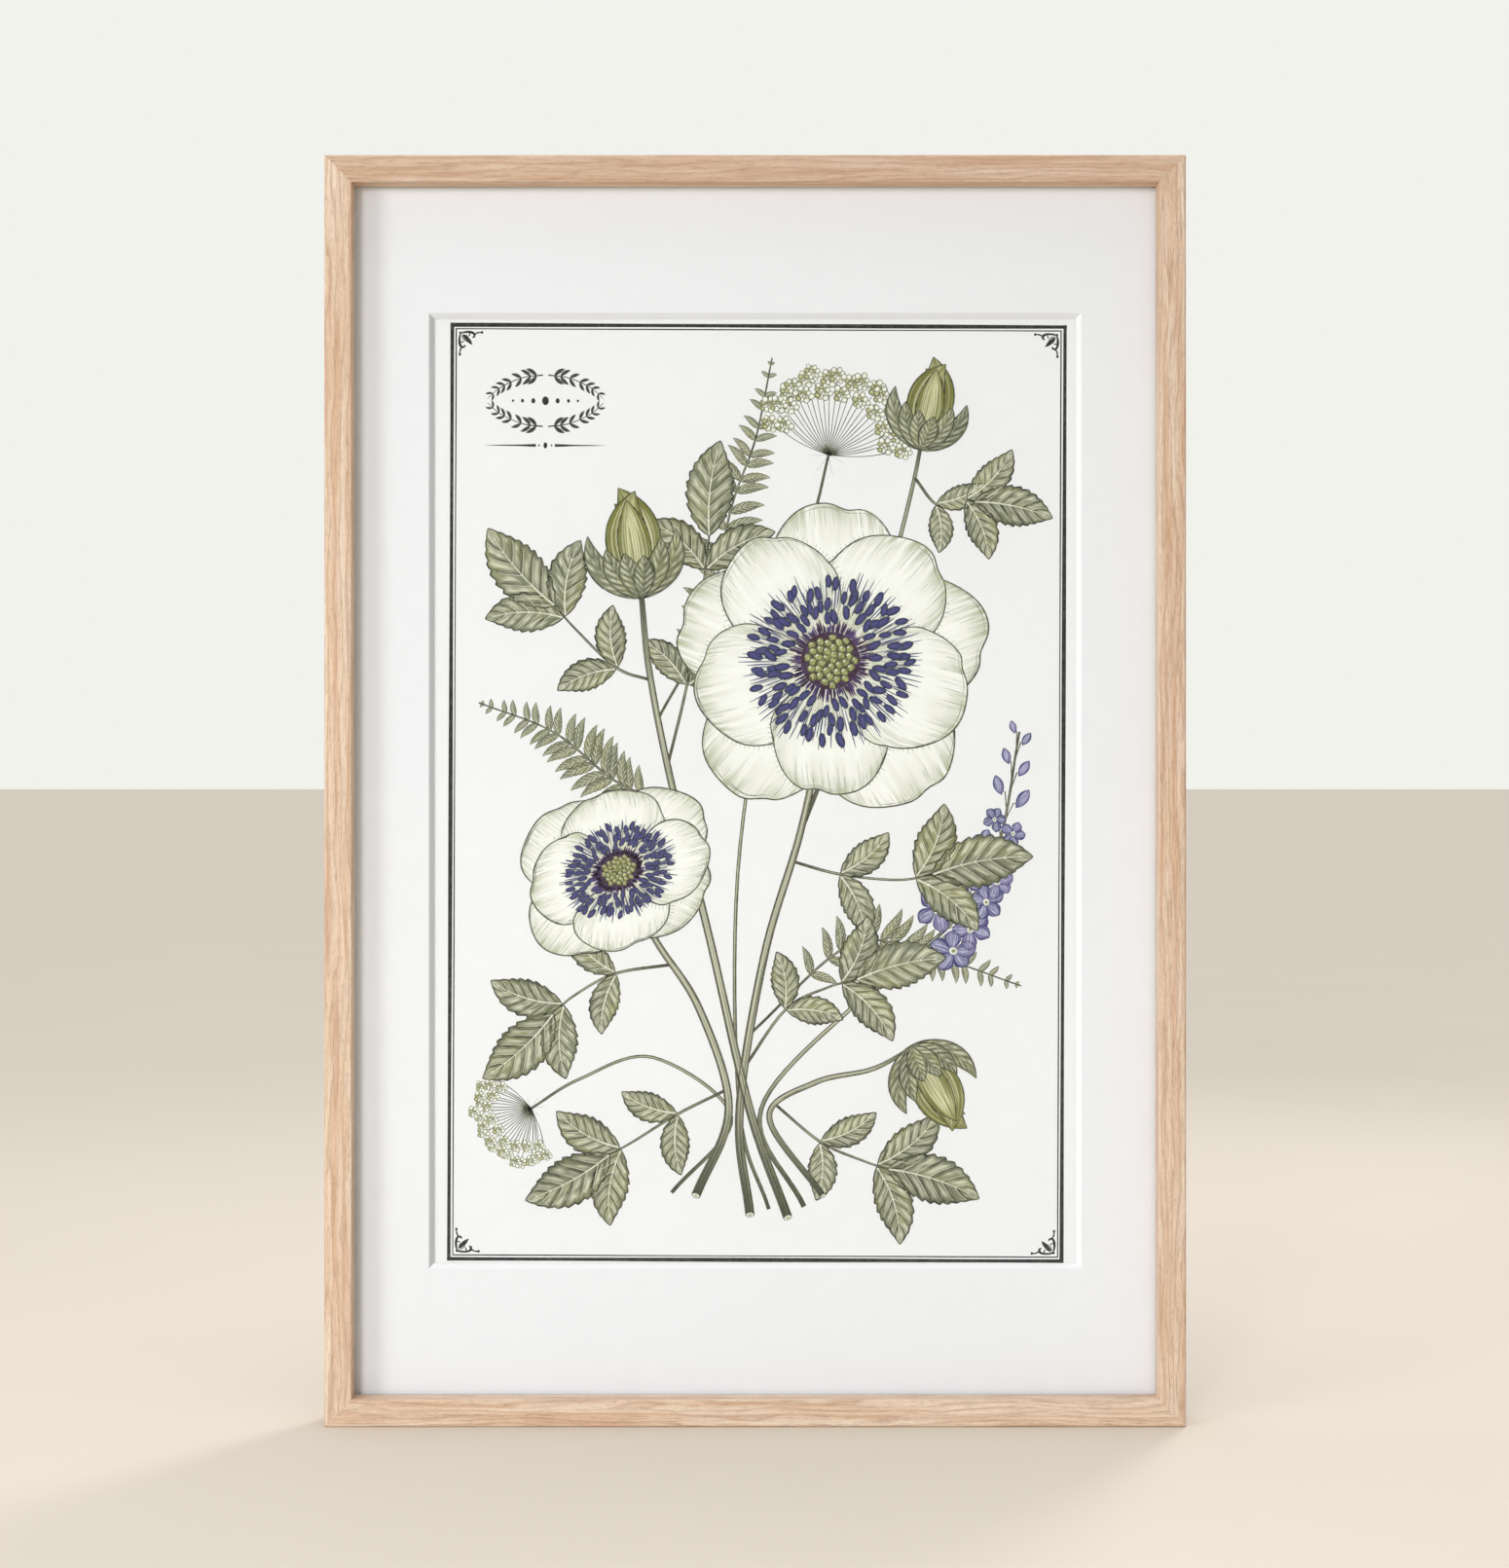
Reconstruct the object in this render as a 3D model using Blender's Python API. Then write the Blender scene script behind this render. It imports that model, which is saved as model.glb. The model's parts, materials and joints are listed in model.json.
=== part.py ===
"""Framed botanical print: an oak gallery frame with a window mat, made as a bench assembly.

Run with: blender --background --python part.py, or from Blender's text editor.

Metres, +Z up. The front faces -Y, +X is to the right as seen from the front, and the origin is the middle of
the underside of the whole object, hardware at the back included.

Depths are counted from the frame's front face backwards, and insets from the frame's outer edge inwards.
"""

import math

import bmesh
import bpy
from mathutils import Matrix, Vector

# --- Driving dimensions ---------------------------------------------------------------------------

GAP = 0.0003  # clearance between two pieces that touch

# Moulding
WIDTH = 0.630
HEIGHT = 0.930
FACE = 0.020  # width of the front face
DEPTH = 0.030  # front face to back face
LIP = 0.005  # how far the front lip reaches over the glazing
RECESS = 0.015  # front face to the rebate's floor
OUTER_ROUND = 0.0015  # radius along the two outer edges
ROUND_STEPS = 3

# Sheets in the rebate, front to back
SHEET_PLAY = 0.001  # room round each sheet
GLAZING = 0.002
MAT = 0.003
PRINT = 0.0003
TAPE = 0.0002
MOUNT_BOARD = 0.005
BACKING = 0.0025

# Window and printed sheet
WINDOW_WIDTH = 0.4745  # at the back of the mat, where the print shows
WINDOW_HEIGHT = 0.6985
WINDOW_BEVEL = 0.0035  # how much wider each side of the window is at the front
PRINT_WIDTH = 0.500  # a B2 sheet
PRINT_HEIGHT = 0.707
TAPE_WIDTH = 0.040
TAPE_HEIGHT = 0.030
TAPE_OVERLAP = 0.008  # how much of the tape is stuck to the print
TAPE_SPREAD = 0.150  # each tape's distance from the middle

# V-nails in the mitres
NAIL_INSETS = (0.0050, 0.0105)
NAIL_WING = 0.0075
NAIL_STEEL = 0.0006
NAIL_HEIGHT = 0.010

# Wood screws
SCREW_SHANK = 0.0015  # radius
SCREW_HEAD = 0.0033  # radius
SCREW_HEAD_HEIGHT = 0.0019
SCREW_LENGTH = 0.012  # under the metal it holds
SCREW_POINT = 0.003
SLOT_REACH = 0.0019  # half the length of the cross recess
SLOT_HALF = 0.0004
SLOT_DEPTH = 0.0010
SCREW_SIDES = 16

# Turn buttons
BUTTON_STEEL = 0.0012
BUTTON_ROUND = 0.0055  # radius of the end round the screw
BUTTON_TIP = 0.0035  # radius of the other end
BUTTON_REACH = 0.020  # between the two ends' centres
BUTTON_HOLE = 0.0019
BUTTON_INSET = 0.0085
STILE_SPACING = 0.310
RAIL_SPREAD = 0.150

# D-ring hangers
STRAP_HALF = 0.005
STRAP_STEEL = 0.0012
STRAP_LENGTH = 0.038  # from the ring's axis to the strap's lower end
STRAP_SCREWS = (0.0205, 0.0320)  # below the ring's axis
STRAP_HOLE = 0.0019
WIRE = 0.00125  # radius of the ring's wire
RING_HALF = 0.007  # half the ring's width, at the middle of the wire
RING_CORNER = 0.002
RING_SIDE = 0.008  # from the ring's axis to the start of its round end
HANGER_INSET = 0.009
HANGER_HEIGHT = 0.700

# Wall bumpers
BUMPER_RADIUS = 0.006
BUMPER_EDGE = 0.001
BUMPER_INSET = 0.009
BUMPER_HEIGHT = 0.045

# --- Sizes that follow ----------------------------------------------------------------------------

CURL_INNER = WIRE + GAP
CURL_OUTER = CURL_INNER + STRAP_STEEL
BUMPER_THICK = 2 * CURL_OUTER + GAP  # the bumpers stand just proud of the hangers
TOTAL_DEPTH = DEPTH + GAP + BUMPER_THICK
FRONT = -TOTAL_DEPTH / 2
BACK = FRONT + DEPTH

GLAZING_FRONT = FRONT + RECESS + GAP
MAT_FRONT = GLAZING_FRONT + GLAZING + GAP
PRINT_FRONT = MAT_FRONT + MAT + GAP
TAPE_FRONT = PRINT_FRONT + PRINT + GAP
MOUNT_FRONT = TAPE_FRONT + TAPE + GAP
BACKING_FRONT = MOUNT_FRONT + MOUNT_BOARD + GAP

REBATE_WIDTH = WIDTH - 2 * (FACE - LIP)
REBATE_HEIGHT = HEIGHT - 2 * (FACE - LIP)
SHEET_WIDTH = REBATE_WIDTH - 2 * SHEET_PLAY
SHEET_HEIGHT = REBATE_HEIGHT - 2 * SHEET_PLAY
MIDDLE = HEIGHT / 2

# Each side of the frame: its name, the length of its outer edge, the middle of that edge, and the turn about
# Y that carries the bottom rail to it.
SIDES = {
    "bottom_rail": (WIDTH, Vector((0, 0, 0)), 0),
    "left_stile": (HEIGHT, Vector((-WIDTH / 2, 0, MIDDLE)), math.pi / 2),
    "top_rail": (WIDTH, Vector((0, 0, HEIGHT)), math.pi),
    "right_stile": (HEIGHT, Vector((WIDTH / 2, 0, MIDDLE)), -math.pi / 2),
}

# Where a turn button sits along its side, from the side's middle, and what that place is called.
BUTTON_PLACES = {
    "bottom_rail": {"bottom_left": -RAIL_SPREAD, "bottom_right": RAIL_SPREAD},
    "left_stile": {"left_low": STILE_SPACING, "left_middle": 0, "left_high": -STILE_SPACING},
    "top_rail": {"top_left": RAIL_SPREAD, "top_right": -RAIL_SPREAD},
    "right_stile": {"right_low": -STILE_SPACING, "right_middle": 0, "right_high": STILE_SPACING},
}
SIGNS = {"left": -1, "right": 1}


# --- Scene, materials and objects -----------------------------------------------------------------


def clear_scene():
    for obj in list(bpy.data.objects):
        bpy.data.objects.remove(obj)


def material(name, colour, roughness, metallic=0.0, alpha=1.0):
    made = bpy.data.materials.new(name)
    made.use_nodes = True
    made.diffuse_color = (*colour, alpha)
    shader = made.node_tree.nodes["Principled BSDF"]
    shader.inputs["Base Color"].default_value = (*colour, 1)
    shader.inputs["Roughness"].default_value = roughness
    shader.inputs["Metallic"].default_value = metallic
    shader.inputs["Alpha"].default_value = alpha
    return made


def place(name, data, finish, location=(0, 0, 0), turn=0.0):
    """Adds an object that shows data, turned about Y and then moved."""
    obj = bpy.data.objects.new(name, data)
    if not data.materials:
        data.materials.append(finish)
    obj.location = location
    obj.rotation_euler = (0, turn, 0)
    bpy.context.scene.collection.objects.link(obj)
    return obj


def mesh_of(name, bm, smooth=False):
    bmesh.ops.recalc_face_normals(bm, faces=bm.faces)
    data = bpy.data.meshes.new(name)
    bm.to_mesh(data)
    bm.free()
    if smooth:
        data.shade_smooth()
        data.set_sharp_from_angle(angle=math.radians(35))
    return data


def helper(obj):
    """Marks a cutter, which isn't part of the object."""
    obj.hide_render = True
    obj.display_type = "WIRE"
    return obj


def cut(obj, cutter):
    boolean = obj.modifiers.new(cutter.name, "BOOLEAN")
    boolean.operation = "DIFFERENCE"
    boolean.object = cutter


# --- Shape helpers --------------------------------------------------------------------------------


def prism(bm, outline, push):
    """Adds the solid between an outline and the same outline moved by push."""
    face = bm.faces.new([bm.verts.new(point) for point in outline])
    extruded = bmesh.ops.extrude_face_region(bm, geom=[face], use_keep_orig=True)
    far = [item for item in extruded["geom"] if isinstance(item, bmesh.types.BMVert)]
    bmesh.ops.translate(bm, verts=far, vec=push)
    return far


def sheet(name, width, height, front, thickness, finish, middle=(0, MIDDLE)):
    """An upright board or sheet of paper, with the middle of its front face at (x, front, z)."""
    bm = bmesh.new()
    bmesh.ops.create_cube(bm, size=1)
    bmesh.ops.scale(bm, verts=bm.verts, vec=(width, thickness, height))
    bmesh.ops.translate(bm, verts=bm.verts, vec=(0, thickness / 2, 0))
    return place(name, mesh_of(name, bm), finish, (middle[0], front, middle[1]))


def cylinder(bm, centre, radius, start, end, sides=SCREW_SIDES):
    """Adds a cylinder along Y between two depths."""
    along_y = Matrix.Rotation(math.pi / 2, 4, "X")
    seated = Matrix.Translation((centre[0], (start + end) / 2, centre[1])) @ along_y
    bmesh.ops.create_cone(
        bm, cap_ends=True, segments=sides, radius1=radius, radius2=radius, depth=end - start, matrix=seated
    )


def turned_solid(name, profile, steps, smooth=True):
    """A solid turned about Y from (radius, y) points that start and end on the axis."""
    bm = bmesh.new()
    verts = [bm.verts.new((radius, y, 0)) for radius, y in profile]
    edges = [bm.edges.new(pair) for pair in zip(verts, verts[1:])]
    bmesh.ops.spin(
        bm, geom=verts + edges, axis=(0, 1, 0), cent=(0, 0, 0), steps=steps, angle=2 * math.pi, use_merge=True
    )
    bmesh.ops.remove_doubles(bm, verts=bm.verts, dist=1e-6)
    return mesh_of(name, bm, smooth)


def arc(centre, radius, start, end, steps):
    """Points on an arc, with angles in degrees."""
    angles = [math.radians(start + (end - start) * i / steps) for i in range(steps + 1)]
    return [(centre[0] + radius * math.cos(a), centre[1] + radius * math.sin(a)) for a in angles]


# --- Moulding -------------------------------------------------------------------------------------


def moulding_profile():
    """The moulding's section as (inset, y) points: two rounded outer edges, a lip and a rebate."""
    r = OUTER_ROUND
    front_edge = arc((r, FRONT + r), r, 180, 270, ROUND_STEPS)
    back_edge = arc((r, BACK - r), r, 90, 180, ROUND_STEPS)
    rebate = [
        (FACE, FRONT),
        (FACE, FRONT + RECESS),
        (FACE - LIP, FRONT + RECESS),
        (FACE - LIP, BACK),
    ]
    return front_edge + rebate + back_edge


def moulding(name, finish, cutter):
    """One side of the frame, cut square along the outer edge's middle and mitred at both ends."""
    length, middle, turn = SIDES[name]
    bm = bmesh.new()
    outline = [(0, y, inset) for inset, y in moulding_profile()]
    far = prism(bm, outline, (length, 0, 0))
    bmesh.ops.translate(bm, verts=bm.verts, vec=(-length / 2, 0, 0))
    joint = GAP / math.sqrt(2)
    for vert in bm.verts:
        mitre = vert.co.z + joint
        vert.co.x += -mitre if vert in far else mitre
    side = place(name, mesh_of(name, bm, smooth=True), finish, middle, turn)
    cut(side, cutter)
    return side


def on_side(name, along, inset):
    """The (x, z) place at a distance along a side from its middle, at an inset from its outer edge."""
    _, middle, turn = SIDES[name]
    point = middle + Matrix.Rotation(turn, 3, "Y") @ Vector((along, 0, inset))
    return point.x, point.z


def button_places():
    """(name, side, x, z) of each turn button."""
    for side, places in BUTTON_PLACES.items():
        for name, along in places.items():
            yield (name, side, *on_side(side, along, BUTTON_INSET))


def nail_outline(inset, half, extra):
    """A V-nail's outline at the lower left corner, as (x, z) from that corner."""
    near, far, end = inset - half, inset + half, inset + NAIL_WING + extra
    return [(near, near), (end, near), (end, far), (far, far), (far, end), (near, end)]


def nail_prism(bm, inset, corner, extra):
    """Adds a V-nail, or with extra its slot, in one corner of the frame."""
    sign_x, sign_z = corner
    half = NAIL_STEEL / 2 + extra
    start = BACK - NAIL_HEIGHT - extra
    end = BACK + (extra if extra else -GAP / 2)
    outline = []
    for x, z in nail_outline(inset, half, extra):
        outline.append((sign_x * (x - WIDTH / 2), start, MIDDLE + sign_z * (z - MIDDLE)))
    prism(bm, outline, (0, end - start, 0))


def corners():
    """(name, (sign_x, sign_z)) of each corner: a sign of -1 turns the lower left one to the other side."""
    for upright, sign_z in (("bottom", 1), ("top", -1)):
        for across, sign_x in (("left", 1), ("right", -1)):
            yield f"{upright}_{across}", (sign_x, sign_z)


def bores_cutter(finish):
    """Everything that is cut into the moulding from behind: screw holes and the V-nails' slots."""
    bm = bmesh.new()
    floor = BACK - SCREW_LENGTH - GAP
    for _, _, x, z in button_places():
        cylinder(bm, (x, z), SCREW_SHANK + GAP, floor, BACK + GAP)
    for sign in SIGNS.values():
        x = sign * (WIDTH / 2 - HANGER_INSET)
        for below in STRAP_SCREWS:
            cylinder(bm, (x, HANGER_HEIGHT - below), SCREW_SHANK + GAP, floor, BACK + GAP)
    for _, corner in corners():
        for inset in NAIL_INSETS:
            nail_prism(bm, inset, corner, GAP)
    return helper(place("bores_cutter", mesh_of("bores_cutter", bm), finish))


def v_nails(finish):
    for corner_name, corner in corners():
        for label, inset in zip(("outer", "inner"), NAIL_INSETS):
            bm = bmesh.new()
            nail_prism(bm, inset, corner, 0)
            name = f"v_nail_{corner_name}_{label}"
            place(name, mesh_of(name, bm), finish)


# --- Sheets ---------------------------------------------------------------------------------------


def mat_board(finish):
    """A board with a window whose edge slopes: the window is wider at the front."""
    window_front = (WINDOW_WIDTH + 2 * WINDOW_BEVEL, WINDOW_HEIGHT + 2 * WINDOW_BEVEL)
    rims = [
        (SHEET_WIDTH, SHEET_HEIGHT, 0),
        (*window_front, 0),
        (WINDOW_WIDTH, WINDOW_HEIGHT, MAT),
        (SHEET_WIDTH, SHEET_HEIGHT, MAT),
    ]
    around = ((-1, -1), (1, -1), (1, 1), (-1, 1))
    bm = bmesh.new()
    loops = []
    for width, height, y in rims:
        verts = [bm.verts.new((sx * width / 2, y, sz * height / 2)) for sx, sz in around]
        loops.append([bm.edges.new((verts[i - 1], verts[i])) for i in range(4)])
    for i, loop in enumerate(loops):
        bmesh.ops.bridge_loops(bm, edges=loops[i - 1] + loop)
    return place("mat_board", mesh_of("mat_board", bm), finish, (0, MAT_FRONT, MIDDLE))


def sheets(finishes):
    """Everything that lies in the rebate, from the glazing back to the backing board."""
    sheet("glazing_sheet", SHEET_WIDTH, SHEET_HEIGHT, GLAZING_FRONT, GLAZING, finishes["acrylic"])
    mat_board(finishes["mat"])
    sheet("art_print", PRINT_WIDTH, PRINT_HEIGHT, PRINT_FRONT, PRINT, finishes["paper"])
    tape_middle = MIDDLE + PRINT_HEIGHT / 2 - TAPE_OVERLAP + TAPE_HEIGHT / 2
    for side, sign in SIGNS.items():
        at = (sign * TAPE_SPREAD, tape_middle)
        sheet(f"print_tape_{side}", TAPE_WIDTH, TAPE_HEIGHT, TAPE_FRONT, TAPE, finishes["tape"], at)
    sheet("mount_board", SHEET_WIDTH, SHEET_HEIGHT, MOUNT_FRONT, MOUNT_BOARD, finishes["foam"])
    sheet("backing_board", SHEET_WIDTH, SHEET_HEIGHT, BACKING_FRONT, BACKING, finishes["hardboard"])


# --- Hardware -------------------------------------------------------------------------------------


def screw_mesh(finish):
    """A pan-head wood screw along Y: its head's underside is at 0, its point towards -Y, its recess at +Y."""
    grip = SCREW_LENGTH + BUTTON_STEEL + 2 * GAP
    dome = [
        (SCREW_HEAD, 0),
        (SCREW_HEAD, SCREW_HEAD_HEIGHT * 0.45),
        (SCREW_HEAD * 0.85, SCREW_HEAD_HEIGHT * 0.80),
        (SCREW_HEAD * 0.55, SCREW_HEAD_HEIGHT),
        (0, SCREW_HEAD_HEIGHT),
    ]
    profile = [(0, -grip), (SCREW_SHANK, SCREW_POINT - grip), (SCREW_SHANK, 0)] + dome
    blank = place("screw_blank", turned_solid("screw_blank", profile, SCREW_SIDES), finish)
    bm = bmesh.new()
    a, b = SLOT_HALF, SLOT_REACH
    arm = [(b, -a), (b, a), (a, a)]
    cross = [(x * c - z * d, x * d + z * c) for c, d in ((1, 0), (0, 1), (-1, 0), (0, -1)) for x, z in arm]
    start = SCREW_HEAD_HEIGHT - SLOT_DEPTH
    prism(bm, [(x, start, z) for x, z in cross], (0, 2 * SLOT_DEPTH, 0))
    slot = helper(place("screw_slot_cutter", mesh_of("screw_slot_cutter", bm), finish))
    cut(blank, slot)
    bpy.context.view_layer.update()
    graph = bpy.context.evaluated_depsgraph_get()
    data = bpy.data.meshes.new_from_object(blank.evaluated_get(graph))
    data.name = "wood_screw"
    for obj in (blank, slot):
        bpy.data.objects.remove(obj)
    return data


def button_mesh():
    """A turn button pointing to +Z, a teardrop plate with its screw hole at the origin."""
    lean = math.degrees(math.asin((BUTTON_ROUND - BUTTON_TIP) / BUTTON_REACH))
    outline = arc((0, 0), BUTTON_ROUND, 180 - lean, 360 + lean, 14)
    outline += arc((0, BUTTON_REACH), BUTTON_TIP, lean, 180 - lean, 9)
    bm = bmesh.new()
    rim = [bm.verts.new((x, 0, z)) for x, z in outline]
    hole = []
    for vert in rim:
        toward = vert.co.normalized() * BUTTON_HOLE
        hole.append(bm.verts.new(toward))
    for i in range(len(rim)):
        bm.faces.new((rim[i - 1], rim[i], hole[i], hole[i - 1]))
    extruded = bmesh.ops.extrude_face_region(bm, geom=bm.faces[:], use_keep_orig=True)
    far = [item for item in extruded["geom"] if isinstance(item, bmesh.types.BMVert)]
    bmesh.ops.translate(bm, verts=far, vec=(0, BUTTON_STEEL, 0))
    return mesh_of("turn_button", bm)


def turn_buttons(finishes, screw):
    plate = button_mesh()
    for name, side, x, z in button_places():
        turn = SIDES[side][2]
        place(f"turn_button_{name}", plate, finishes["zinc"], (x, BACK + GAP, z), turn)
        head = BACK + GAP + BUTTON_STEEL + GAP
        place(f"button_screw_{name}", screw, finishes["zinc"], (x, head, z), turn)


def strap_mesh():
    """A hanger strap with the ring's axis at the origin: a flat plate below and a curl round the ring's bar."""
    curl_end = -80
    outside = arc((0, 0), CURL_OUTER, 180, curl_end, 15)
    inside = arc((0, 0), CURL_INNER, curl_end, 180, 15)
    plate_top = [(-CURL_INNER, -STRAP_LENGTH), (-CURL_OUTER, -STRAP_LENGTH)]
    bm = bmesh.new()
    outline = [(-STRAP_HALF, y, z) for y, z in outside + inside + plate_top]
    prism(bm, outline, (2 * STRAP_HALF, 0, 0))
    return mesh_of("hanger_strap", bm)


def ring_curve():
    """A D-ring hanging down from the origin: a straight bar along X, short sides and a round end."""
    corner = RING_HALF - RING_CORNER
    path = arc((corner, -RING_CORNER), RING_CORNER, 90, 0, 4)
    path += arc((0, -RING_SIDE), RING_HALF, 0, -180, 16)
    path += arc((-corner, -RING_CORNER), RING_CORNER, 180, 90, 4)
    data = bpy.data.curves.new("hanger_ring", "CURVE")
    data.dimensions = "3D"
    data.bevel_depth = WIRE
    data.bevel_resolution = 2
    spline = data.splines.new("POLY")
    spline.points.add(len(path) - 1)
    for point, (x, z) in zip(spline.points, path):
        point.co = (x, 0, z, 1)
    spline.use_cyclic_u = True
    return data


def hangers(finishes, screw):
    strap = strap_mesh()
    ring = ring_curve()
    axis_y = BACK + GAP + CURL_OUTER
    for side, sign in SIGNS.items():
        x = sign * (WIDTH / 2 - HANGER_INSET)
        bm = bmesh.new()
        for below in STRAP_SCREWS:
            cylinder(bm, (x, HANGER_HEIGHT - below), STRAP_HOLE, BACK, axis_y)
        name = f"hanger_{side}_hole_cutter"
        holes = helper(place(name, mesh_of(name, bm), finishes["nickel"]))
        cut(place(f"hanger_strap_{side}", strap, finishes["nickel"], (x, axis_y, HANGER_HEIGHT)), holes)
        place(f"hanger_ring_{side}", ring, finishes["nickel"], (x, axis_y, HANGER_HEIGHT))
        for label, below in zip(("upper", "lower"), STRAP_SCREWS):
            at = (x, BACK + GAP + STRAP_STEEL + GAP, HANGER_HEIGHT - below)
            place(f"hanger_screw_{side}_{label}", screw, finishes["zinc"], at)


def bumpers(finish):
    edge = arc((BUMPER_RADIUS - BUMPER_EDGE, BUMPER_THICK - BUMPER_EDGE), BUMPER_EDGE, 0, 90, 3)
    pad = turned_solid("wall_bumper", [(0, 0), (BUMPER_RADIUS, 0), *edge, (0, BUMPER_THICK)], 20)
    for side, sign in SIGNS.items():
        at = (sign * (WIDTH / 2 - BUMPER_INSET), BACK + GAP, BUMPER_HEIGHT)
        place(f"wall_bumper_{side}", pad, finish, at)


# --- The whole object -----------------------------------------------------------------------------


def main():
    clear_scene()
    finishes = {
        "oak": material("oak", (0.60, 0.42, 0.28), 0.55),
        "acrylic": material("acrylic", (0.95, 0.97, 0.97), 0.05, alpha=0.2),
        "mat": material("mat_card", (0.88, 0.88, 0.87), 0.9),
        "paper": material("print_paper", (0.86, 0.86, 0.85), 0.85),
        "tape": material("paper_tape", (0.82, 0.80, 0.74), 0.9),
        "foam": material("foam_board", (0.85, 0.85, 0.84), 0.8),
        "hardboard": material("hardboard", (0.25, 0.15, 0.09), 0.8),
        "zinc": material("zinc_plated_steel", (0.62, 0.62, 0.60), 0.35, 1.0),
        "nickel": material("nickel_plated_steel", (0.66, 0.64, 0.60), 0.25, 1.0),
        "rubber": material("bumper_rubber", (0.03, 0.03, 0.03), 0.8),
    }
    cutter = bores_cutter(finishes["oak"])
    for name in SIDES:
        moulding(name, finishes["oak"], cutter)
    v_nails(finishes["zinc"])
    sheets(finishes)
    screw = screw_mesh(finishes["zinc"])
    turn_buttons(finishes, screw)
    hangers(finishes, screw)
    bumpers(finishes["rubber"])


main()
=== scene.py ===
"""The looks of a framed botanical print: a pale oak gallery frame, a bevelled window mat and a printed study.

The study is a made-up garden sheaf: anemones, larkspur, wild carrot, buds and feathered leaves. It is printed
as thin films of colour on the paper: washes, and ink lines on top of them.

Metres, +Z up, and the front faces -Y. Sizes in the drawing of the print are millimetres from the sheet's
middle.
"""

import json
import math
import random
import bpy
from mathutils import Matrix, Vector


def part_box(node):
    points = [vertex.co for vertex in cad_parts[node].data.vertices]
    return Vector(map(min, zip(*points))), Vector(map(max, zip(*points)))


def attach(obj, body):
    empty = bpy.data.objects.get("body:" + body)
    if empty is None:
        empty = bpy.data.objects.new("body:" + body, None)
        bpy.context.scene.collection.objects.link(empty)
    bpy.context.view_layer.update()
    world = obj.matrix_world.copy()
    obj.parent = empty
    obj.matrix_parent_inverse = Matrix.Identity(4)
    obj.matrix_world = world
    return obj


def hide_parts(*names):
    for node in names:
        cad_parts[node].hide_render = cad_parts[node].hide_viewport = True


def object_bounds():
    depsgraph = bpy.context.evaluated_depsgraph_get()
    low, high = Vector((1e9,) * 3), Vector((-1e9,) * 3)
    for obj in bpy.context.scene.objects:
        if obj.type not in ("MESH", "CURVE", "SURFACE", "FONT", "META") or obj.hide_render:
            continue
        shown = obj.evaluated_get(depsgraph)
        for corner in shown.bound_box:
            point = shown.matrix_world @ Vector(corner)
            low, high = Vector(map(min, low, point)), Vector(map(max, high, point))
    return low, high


bl_info = {
    "name": "Framed botanical print",
    "version": (1, 0, 0),
    "blender": (4, 5, 0),
    "location": "View3D > Sidebar > Framed Print",
    "description": "Builds an oak picture frame with a mat, a printed flower study and fittings on its back",
    "category": "Object",
}

import bmesh
import bpy
from bpy.props import FloatProperty, FloatVectorProperty, PointerProperty
from bpy.types import Operator, Panel, PropertyGroup
from mathutils import Matrix, Vector

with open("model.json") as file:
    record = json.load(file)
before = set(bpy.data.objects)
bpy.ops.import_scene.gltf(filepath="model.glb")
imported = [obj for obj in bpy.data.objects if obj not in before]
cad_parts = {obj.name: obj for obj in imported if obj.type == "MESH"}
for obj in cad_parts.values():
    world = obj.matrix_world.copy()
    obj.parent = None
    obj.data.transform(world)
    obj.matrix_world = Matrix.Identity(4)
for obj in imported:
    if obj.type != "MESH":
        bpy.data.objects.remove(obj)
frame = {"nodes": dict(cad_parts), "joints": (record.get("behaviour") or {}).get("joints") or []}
CAD_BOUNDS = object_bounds()

MM = 0.001
BODY = "frame"  # the body that everything but the swivelling pieces rides on

FRONT = CAD_BOUNDS[0][1]
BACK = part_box("left_stile")[1].y
WIDTH = CAD_BOUNDS[1][0] - CAD_BOUNDS[0][0]
HEIGHT = CAD_BOUNDS[1][2] - CAD_BOUNDS[0][2]
MIDDLE = (CAD_BOUNDS[0][2] + CAD_BOUNDS[1][2]) / 2
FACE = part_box("left_stile")[1].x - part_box("left_stile")[0].x  # width of a side, seen from the front
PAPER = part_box("art_print")[1].y - 0.1 * MM  # front of the printed sheet
MAT_BEVEL = 3.5 * MM  # width of the mat's cut edge, seen from the front
SCREW_HEAD = 1.9 * MM  # height of a screw's head


# --- Colours and properties ---


def linear(code):
    """The linear colour of an sRGB hex code."""
    shares = [int(code[i : i + 2], 16) / 255 for i in (0, 2, 4)]
    return tuple(c / 12.92 if c <= 0.04045 else ((c + 0.055) / 1.055) ** 2.4 for c in shares)


def times(tint, share):
    """A colour made so much darker or lighter."""
    return tuple(min(1, c * share) for c in tint)


def colour(name, description, code):
    return FloatVectorProperty(
        name=name, description=description, default=linear(code), subtype="COLOR", size=3, min=0, max=1
    )


def amount(name, description, default, **options):
    return FloatProperty(name=name, description=description, default=default, **options)


class FrameSettings(PropertyGroup):
    pale: colour("Pale wood", "Lightest colour of the oak, between the growth bands", "EEDAC2")
    middle: colour("Middle wood", "Main colour of the oak", "DCBA9C")
    dark: colour("Growth band", "Colour of the late wood that ends each year's growth", "AC8464")
    pore: colour("Pores", "Colour of the short open pores", "8E6B4C")
    ring_spacing: amount("Band spacing", "Distance between growth bands, in millimetres", 5.2, min=1, max=20)
    roundness: amount("Edge radius", "Radius of the long outer edges", 2 * MM, unit="LENGTH", min=0)


class MatSettings(PropertyGroup):
    card: colour("Card", "Face of the window mat", "ECECED")
    core: colour("Core", "Cut edge of the window mat", "F3F3F3")
    paper: colour("Paper", "Sheet that the study is printed on", "EFEFEE")
    turn: amount("Sheet turn", "How far the sheet is out of square", math.radians(0.22), subtype="ANGLE")


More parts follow.
